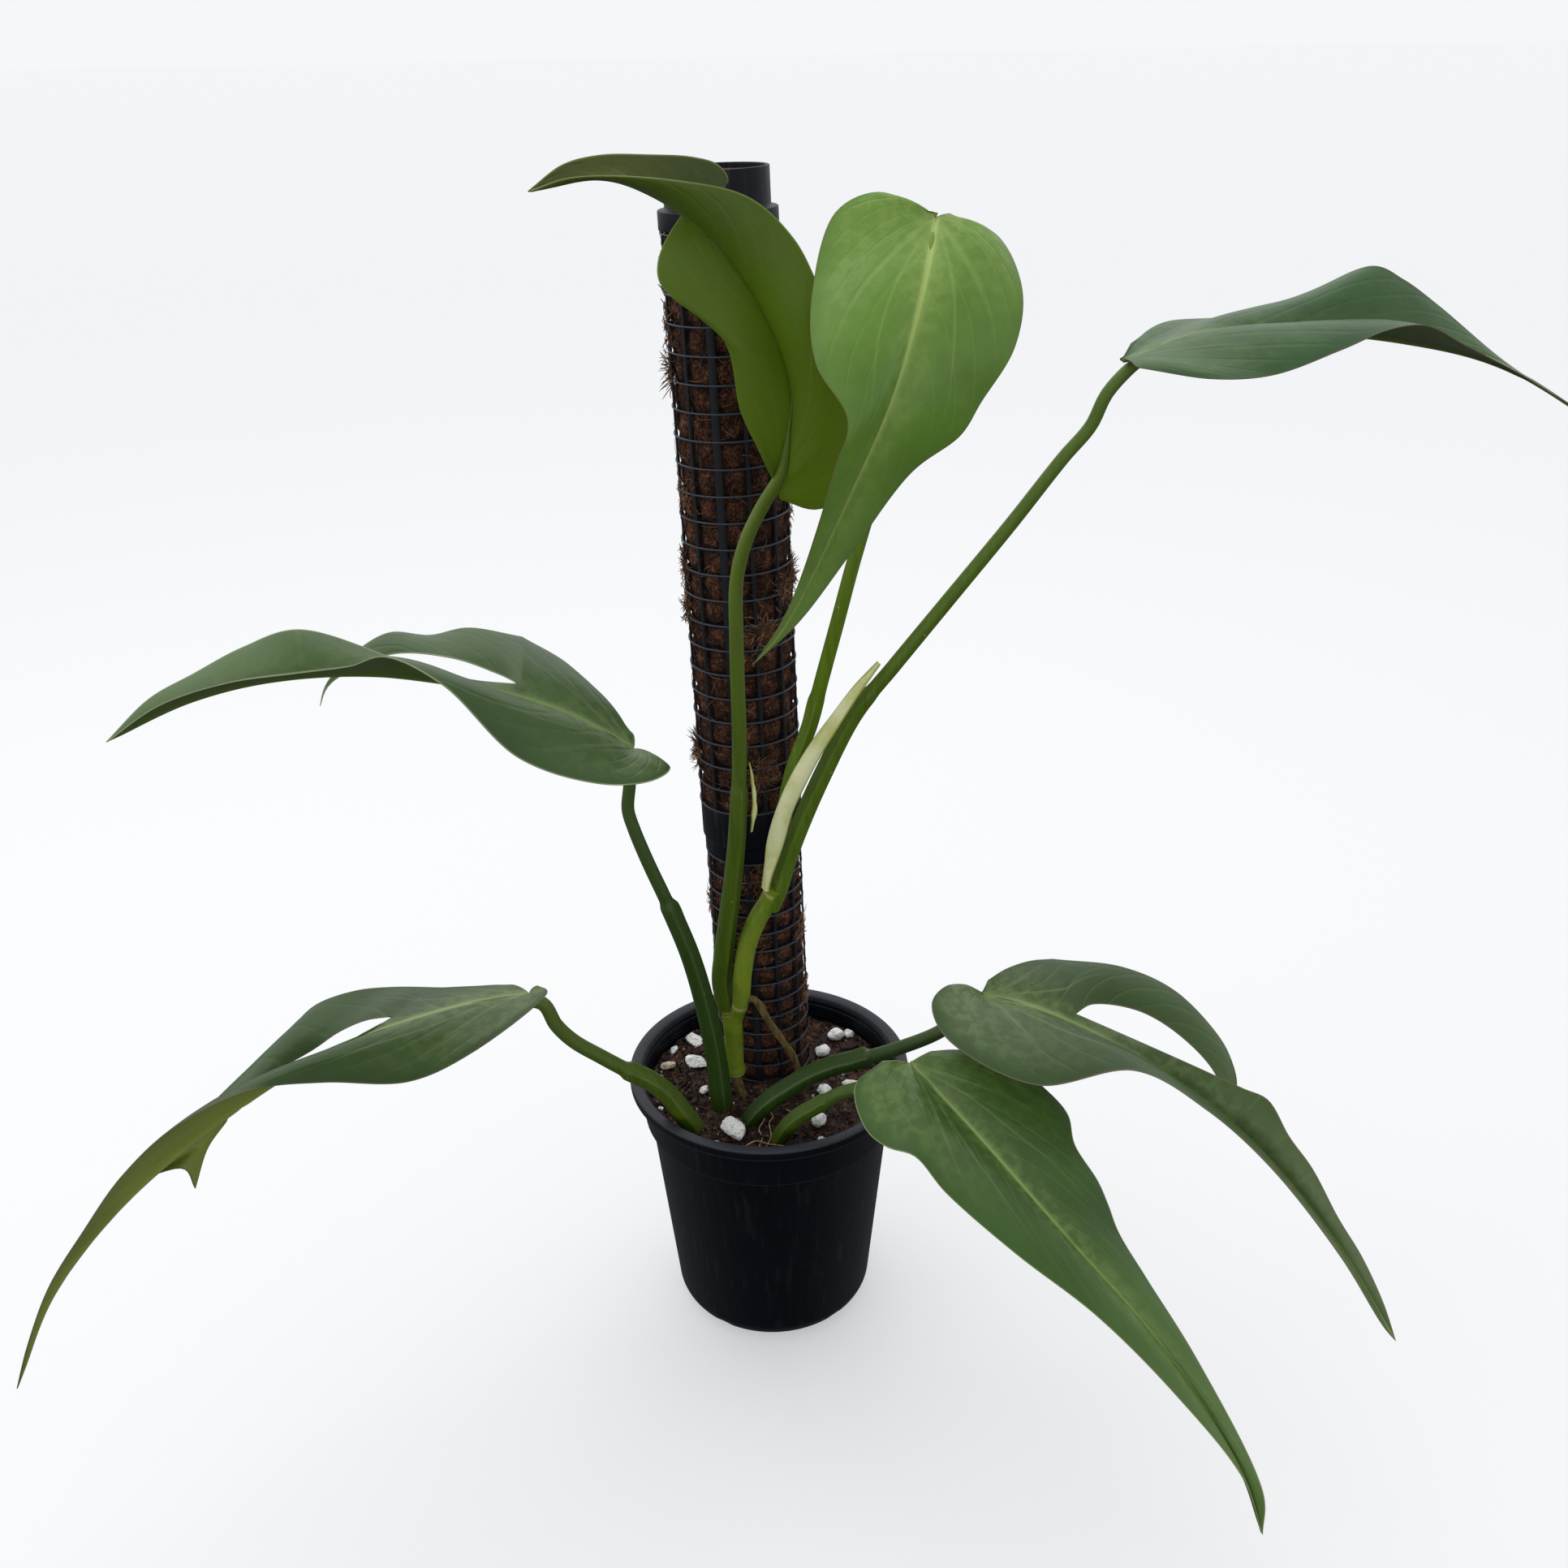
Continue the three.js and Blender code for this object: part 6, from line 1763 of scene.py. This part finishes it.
class BuildMix(bpy.types.Operator):
    """Builds the potting mix with its crumbs and rootlets"""

    bl_idname = "monstera.build_mix"
    bl_label = "Potting mix"

    def execute(self, context):
        look = context.scene.monstera_mix
        place_piece("soil_surface", soil_mesh(), soil_finish(), ["soil"])
        crumbs = crumbs_shell(look.crumbs, 5).mesh("crumbs", merge=1e-4, sharp=30)
        place_piece("soil_crumbs", crumbs, crumb_finish())
        roots = Shell()

        def root_radius(share, angle):
            return 0.42 - 0.2 * share + 0 * angle

        for route in ROOTLETS:
            places = np.asarray(route, float)
            places[:, 2] += crumbly_height(places[:, 0], places[:, 1])
            roots.add_grid(carried(places, root_radius, 8, np.linspace(0, 1, 40)))
        finish = Finish("rootlet_pale", roughness=0.7)
        streak = finish.grain(0.002)
        tone = finish.mix(paint(150, 118, 84), paint(206, 186, 152), streak.between(0.35, 0.65))
        finish.set(base_color=tone)
        finish.relief(streak, 0.0002)
        place_piece("soil_rootlets", roots.mesh("rootlets"), finish.material)
        return {"FINISHED"}


class BuildGrains(bpy.types.Operator):
    """Builds the perlite grains and the bark chips"""

    bl_idname = "monstera.build_grains"
    bl_label = "Perlite and bark"

    def execute(self, context):
        look = context.scene.monstera_mix
        white = perlite_finish("perlite_white", tuple(look.perlite), paint(226, 226, 226))
        sandy = perlite_finish("perlite_sandy", paint(214, 202, 180), paint(140, 116, 84))
        for i, grain in enumerate(PERLITE):
            node = f"perlite_{i + 1:02d}"
            mesh = grain_mesh(f"grain_{i + 1:02d}", grain, 400 + i)
            place_piece(f"grain_{i + 1:02d}", mesh, sandy if i == SANDY_GRAIN else white, [node])
        finish = bark_finish()
        for i, chip in enumerate(BARK):
            mesh = chip_mesh(f"chip_{i + 1}", chip, 500 + i)
            place_piece(f"chip_{i + 1}", mesh, finish, [f"bark_{i + 1}"])
        return {"FINISHED"}


class BuildPole(bpy.types.Operator):
    """Builds the coir cores, their loose fibres, the nets and the two rings"""

    bl_idname = "monstera.build_pole"
    bl_label = "Climbing pole"

    def execute(self, context):
        look = context.scene.monstera_pole
        lower, upper = POLE["lower"], POLE["upper"]
        dark, light = tuple(look.coir_dark), tuple(look.coir_light)
        coir = coir_finish("coir_matted", dark, light)
        low = coir_shell("lower", POLE["foot"], POLE["coupler_step"] - PLAY).mesh("core_lower", sharp=180)
        high = coir_shell("upper", POLE["coupler_step"], POLE["top"] - 2.5).mesh("core_upper", sharp=180)
        place_piece("core_lower", low, coir, ["pole_fill_lower"])
        place_piece("core_upper", high, coir, ["pole_fill_upper"])
        strand = crumb_finish()
        for tier, count, seed in (("lower", look.fibres // 2, 21), ("upper", look.fibres, 22)):
            mesh = fibres_mesh("fibres_" + tier, tier, count, seed)
            place_piece("fibres_" + tier, mesh, strand)
        wire = look.wire / MM
        plastic = tuple(look.plastic)
        net = net_finish(plastic)
        for tier in ("lower", "upper"):
            mesh = net_shell(tier, wire).mesh("net_" + tier, sharp=70)
            place_piece("net_" + tier, mesh, net, ["pole_net_" + tier])
        smooth = plastic_finish(
            "ring_plastic_satin", plastic, paint(128, 134, 142), gloss=0.34, wear=0.35, shine=0.15)
        step, top = POLE["coupler_step"], POLE["coupler_high"]
        narrow, wide = lower["fill"] + PLAY, upper["fill"] + PLAY
        low_radius, high_radius = POLE["coupler_radii"]
        coupler = band_mesh("coupler", [
            (narrow, POLE["coupler_low"]), (low_radius, POLE["coupler_low"]), (low_radius, step - 1),
            (high_radius, step), (high_radius, top), (wide, top), (wide, step - PLAY), (narrow, step - PLAY),
        ])
        sleeve, ring = POLE["sleeve"], POLE["collar_radius"]
        bore = sleeve - POLE["sleeve_wall"]
        collar = band_mesh("collar", [
            (wide, POLE["collar_low"]), (ring, POLE["collar_low"]), (ring, POLE["collar_high"]),
            (sleeve, POLE["collar_high"] + 0.8), (sleeve, POLE["top"]), (bore, POLE["top"]),
            (bore, POLE["collar_high"] - 2), (wide, POLE["collar_high"] - 4),
        ])
        place_piece("coupler", coupler, smooth, ["pole_coupler"])
        place_piece("collar", collar, smooth, ["pole_top_collar"])
        return {"FINISHED"}


class BuildStem(bpy.types.Operator):
    """Builds the stem with its roots, and the dry sheaths"""

    bl_idname = "monstera.build_stem"
    bl_label = "Stem and sheaths"

    def execute(self, context):
        place_piece("stem_grown", stem_mesh(), stem_finish(), ["stem"])
        for sheath in SHEATHS:
            mesh = sheath_mesh(sheath)
            place_piece(sheath["name"] + "_dry", mesh, sheath_finish(), [sheath["name"]])
        return {"FINISHED"}


class BuildLeaves(bpy.types.Operator):
    """Builds the seven leaves with their stalks"""

    bl_idname = "monstera.build_leaves"
    bl_label = "Leaves"

    def execute(self, context):
        look = context.scene.monstera_leaves
        for leaf in LEAVES:
            name = leaf["name"]
            shell = Shell()
            blade_shell(shell, leaf, look.thickness / MM, look.rib_height / MM)
            stalk_shell(shell, leaf)
            finish = leaf_finish(name + "_waxy", LEAF_COLOURS[name], CLEARNESS.get(name, 0.1), look)
            place_piece(name + "_grown", shell.mesh(name + "_grown", sharp=60), finish, [name])
        return {"FINISHED"}


class BuildStage(bpy.types.Operator):
    """Sets up the floor, the light and the camera"""

    bl_idname = "monstera.build_stage"
    bl_label = "Floor, light and camera"

    def execute(self, context):
        scene = context.scene
        look = scene.monstera_stage
        reach = FLOOR_REACH
        corners = [(-reach, -reach, 0), (reach, -reach, 0), (reach, reach, 0), (-reach, reach, 0)]
        mesh = bpy.data.meshes.new("floor")
        mesh.from_pydata(corners, [], [(0, 1, 2, 3)])
        finish = Finish("floor_matte", roughness=0.9, specular_ior_level=0.1, base_color=tuple(look.floor),
                        emission_color=paint(250, 251, 253), emission_strength=look.glow)
        floor = bpy.data.objects.new("floor", mesh)
        floor.visible_diffuse = False
        floor.visible_glossy = False
        mesh.materials.append(finish.material)
        scene.collection.objects.link(floor)

        world = bpy.data.worlds.new("soft_sky")
        world.use_nodes = True
        sky = Finish("sky", world.node_tree)
        heading = sky.node("ShaderNodeTexCoord")
        away, height = (sky.node("ShaderNodeSeparateXYZ", sockets={0: heading}, out=axis) for axis in (1, 2))
        below = 1 - height.between(-0.16, -0.05)
        dome = look.sky * (0.6 + 0.75 * away.between(-0.35, 0.55))
        fill = look.fill * (0 - away).between(0.1, 0.6)
        band = look.horizon + fill
        strength = band + (dome - band) * height.between(0.15, 0.45)
        strength = strength - (band - look.ground * (0.4 + away.between(-0.55, 0.0))) * below
        background = world.node_tree.nodes["Background"]
        background.inputs["Color"].default_value = (0.97, 0.985, 1.0, 1.0)
        world.node_tree.links.new(strength.socket, background.inputs["Strength"])
        scene.world = world
        for name, place, aim, size, share in LIGHTS:
            lamp = bpy.data.lights.new(name, "AREA")
            lamp.shape, lamp.size, lamp.energy = "SQUARE", size, look.key * share
            lamp.color = (1.0, 0.99, 0.97)
            item = bpy.data.objects.new(name, lamp)
            item.location = place
            item.rotation_euler = (Vector(aim) - Vector(place)).to_track_quat("-Z", "Y").to_euler()
            scene.collection.objects.link(item)

        dip, roll = math.radians(CAMERA["dip"]), math.radians(CAMERA["roll"])
        ahead = Vector((0, math.cos(dip), -math.sin(dip)))
        level_up = Vector((0, math.sin(dip), math.cos(dip)))
        level_right = Vector((1, 0, 0))
        right = level_right * math.cos(roll) + level_up * math.sin(roll)
        up = level_up * math.cos(roll) - level_right * math.sin(roll)
        lens = bpy.data.cameras.new("camera")
        lens.lens, lens.sensor_width = CAMERA["lens"], CAMERA["sensor"]
        lens.clip_start, lens.clip_end = 0.02, 2 * FLOOR_REACH
        camera = bpy.data.objects.new("camera", lens)
        turn = Matrix((right, up, -ahead)).transposed()
        camera.matrix_world = Matrix.Translation(Vector(CAMERA["place"]) * MM) @ turn.to_4x4()
        scene.collection.objects.link(camera)
        scene.camera = camera
        scene.view_settings.view_transform = "Standard"
        return {"FINISHED"}


OPERATORS = [BuildStage, BuildPot, BuildMix, BuildGrains, BuildPole, BuildStem, BuildLeaves]


class MonsteraPanel(bpy.types.Panel):
    """Lists the parts and their settings in the sidebar"""

    bl_idname = "MONSTERA_PT_parts"
    bl_label = "Monstera"
    bl_space_type = "VIEW_3D"
    bl_region_type = "UI"
    bl_category = "Monstera"

    def draw(self, context):
        for operator in OPERATORS:
            self.layout.operator(operator.bl_idname)
        for name, settings in SETTINGS.items():
            box = self.layout.box()
            for field in settings.__annotations__:
                box.prop(getattr(context.scene, name), field)


def register():
    """Registers the settings, the operators and the panel."""
    for name, settings in SETTINGS.items():
        bpy.utils.register_class(settings)
        setattr(bpy.types.Scene, name, bpy.props.PointerProperty(type=settings))
    for item in (*OPERATORS, MonsteraPanel):
        bpy.utils.register_class(item)


def unregister():
    """Takes everything back out."""
    for item in (MonsteraPanel, *reversed(OPERATORS)):
        bpy.utils.unregister_class(item)
    for name, settings in SETTINGS.items():
        delattr(bpy.types.Scene, name)
        bpy.utils.unregister_class(settings)


def main():
    """Builds everything in order."""
    register()
    for operator in OPERATORS:
        family, name = operator.bl_idname.split(".")
        getattr(getattr(bpy.ops, family), name)()


if __name__ == "__main__":
    main()
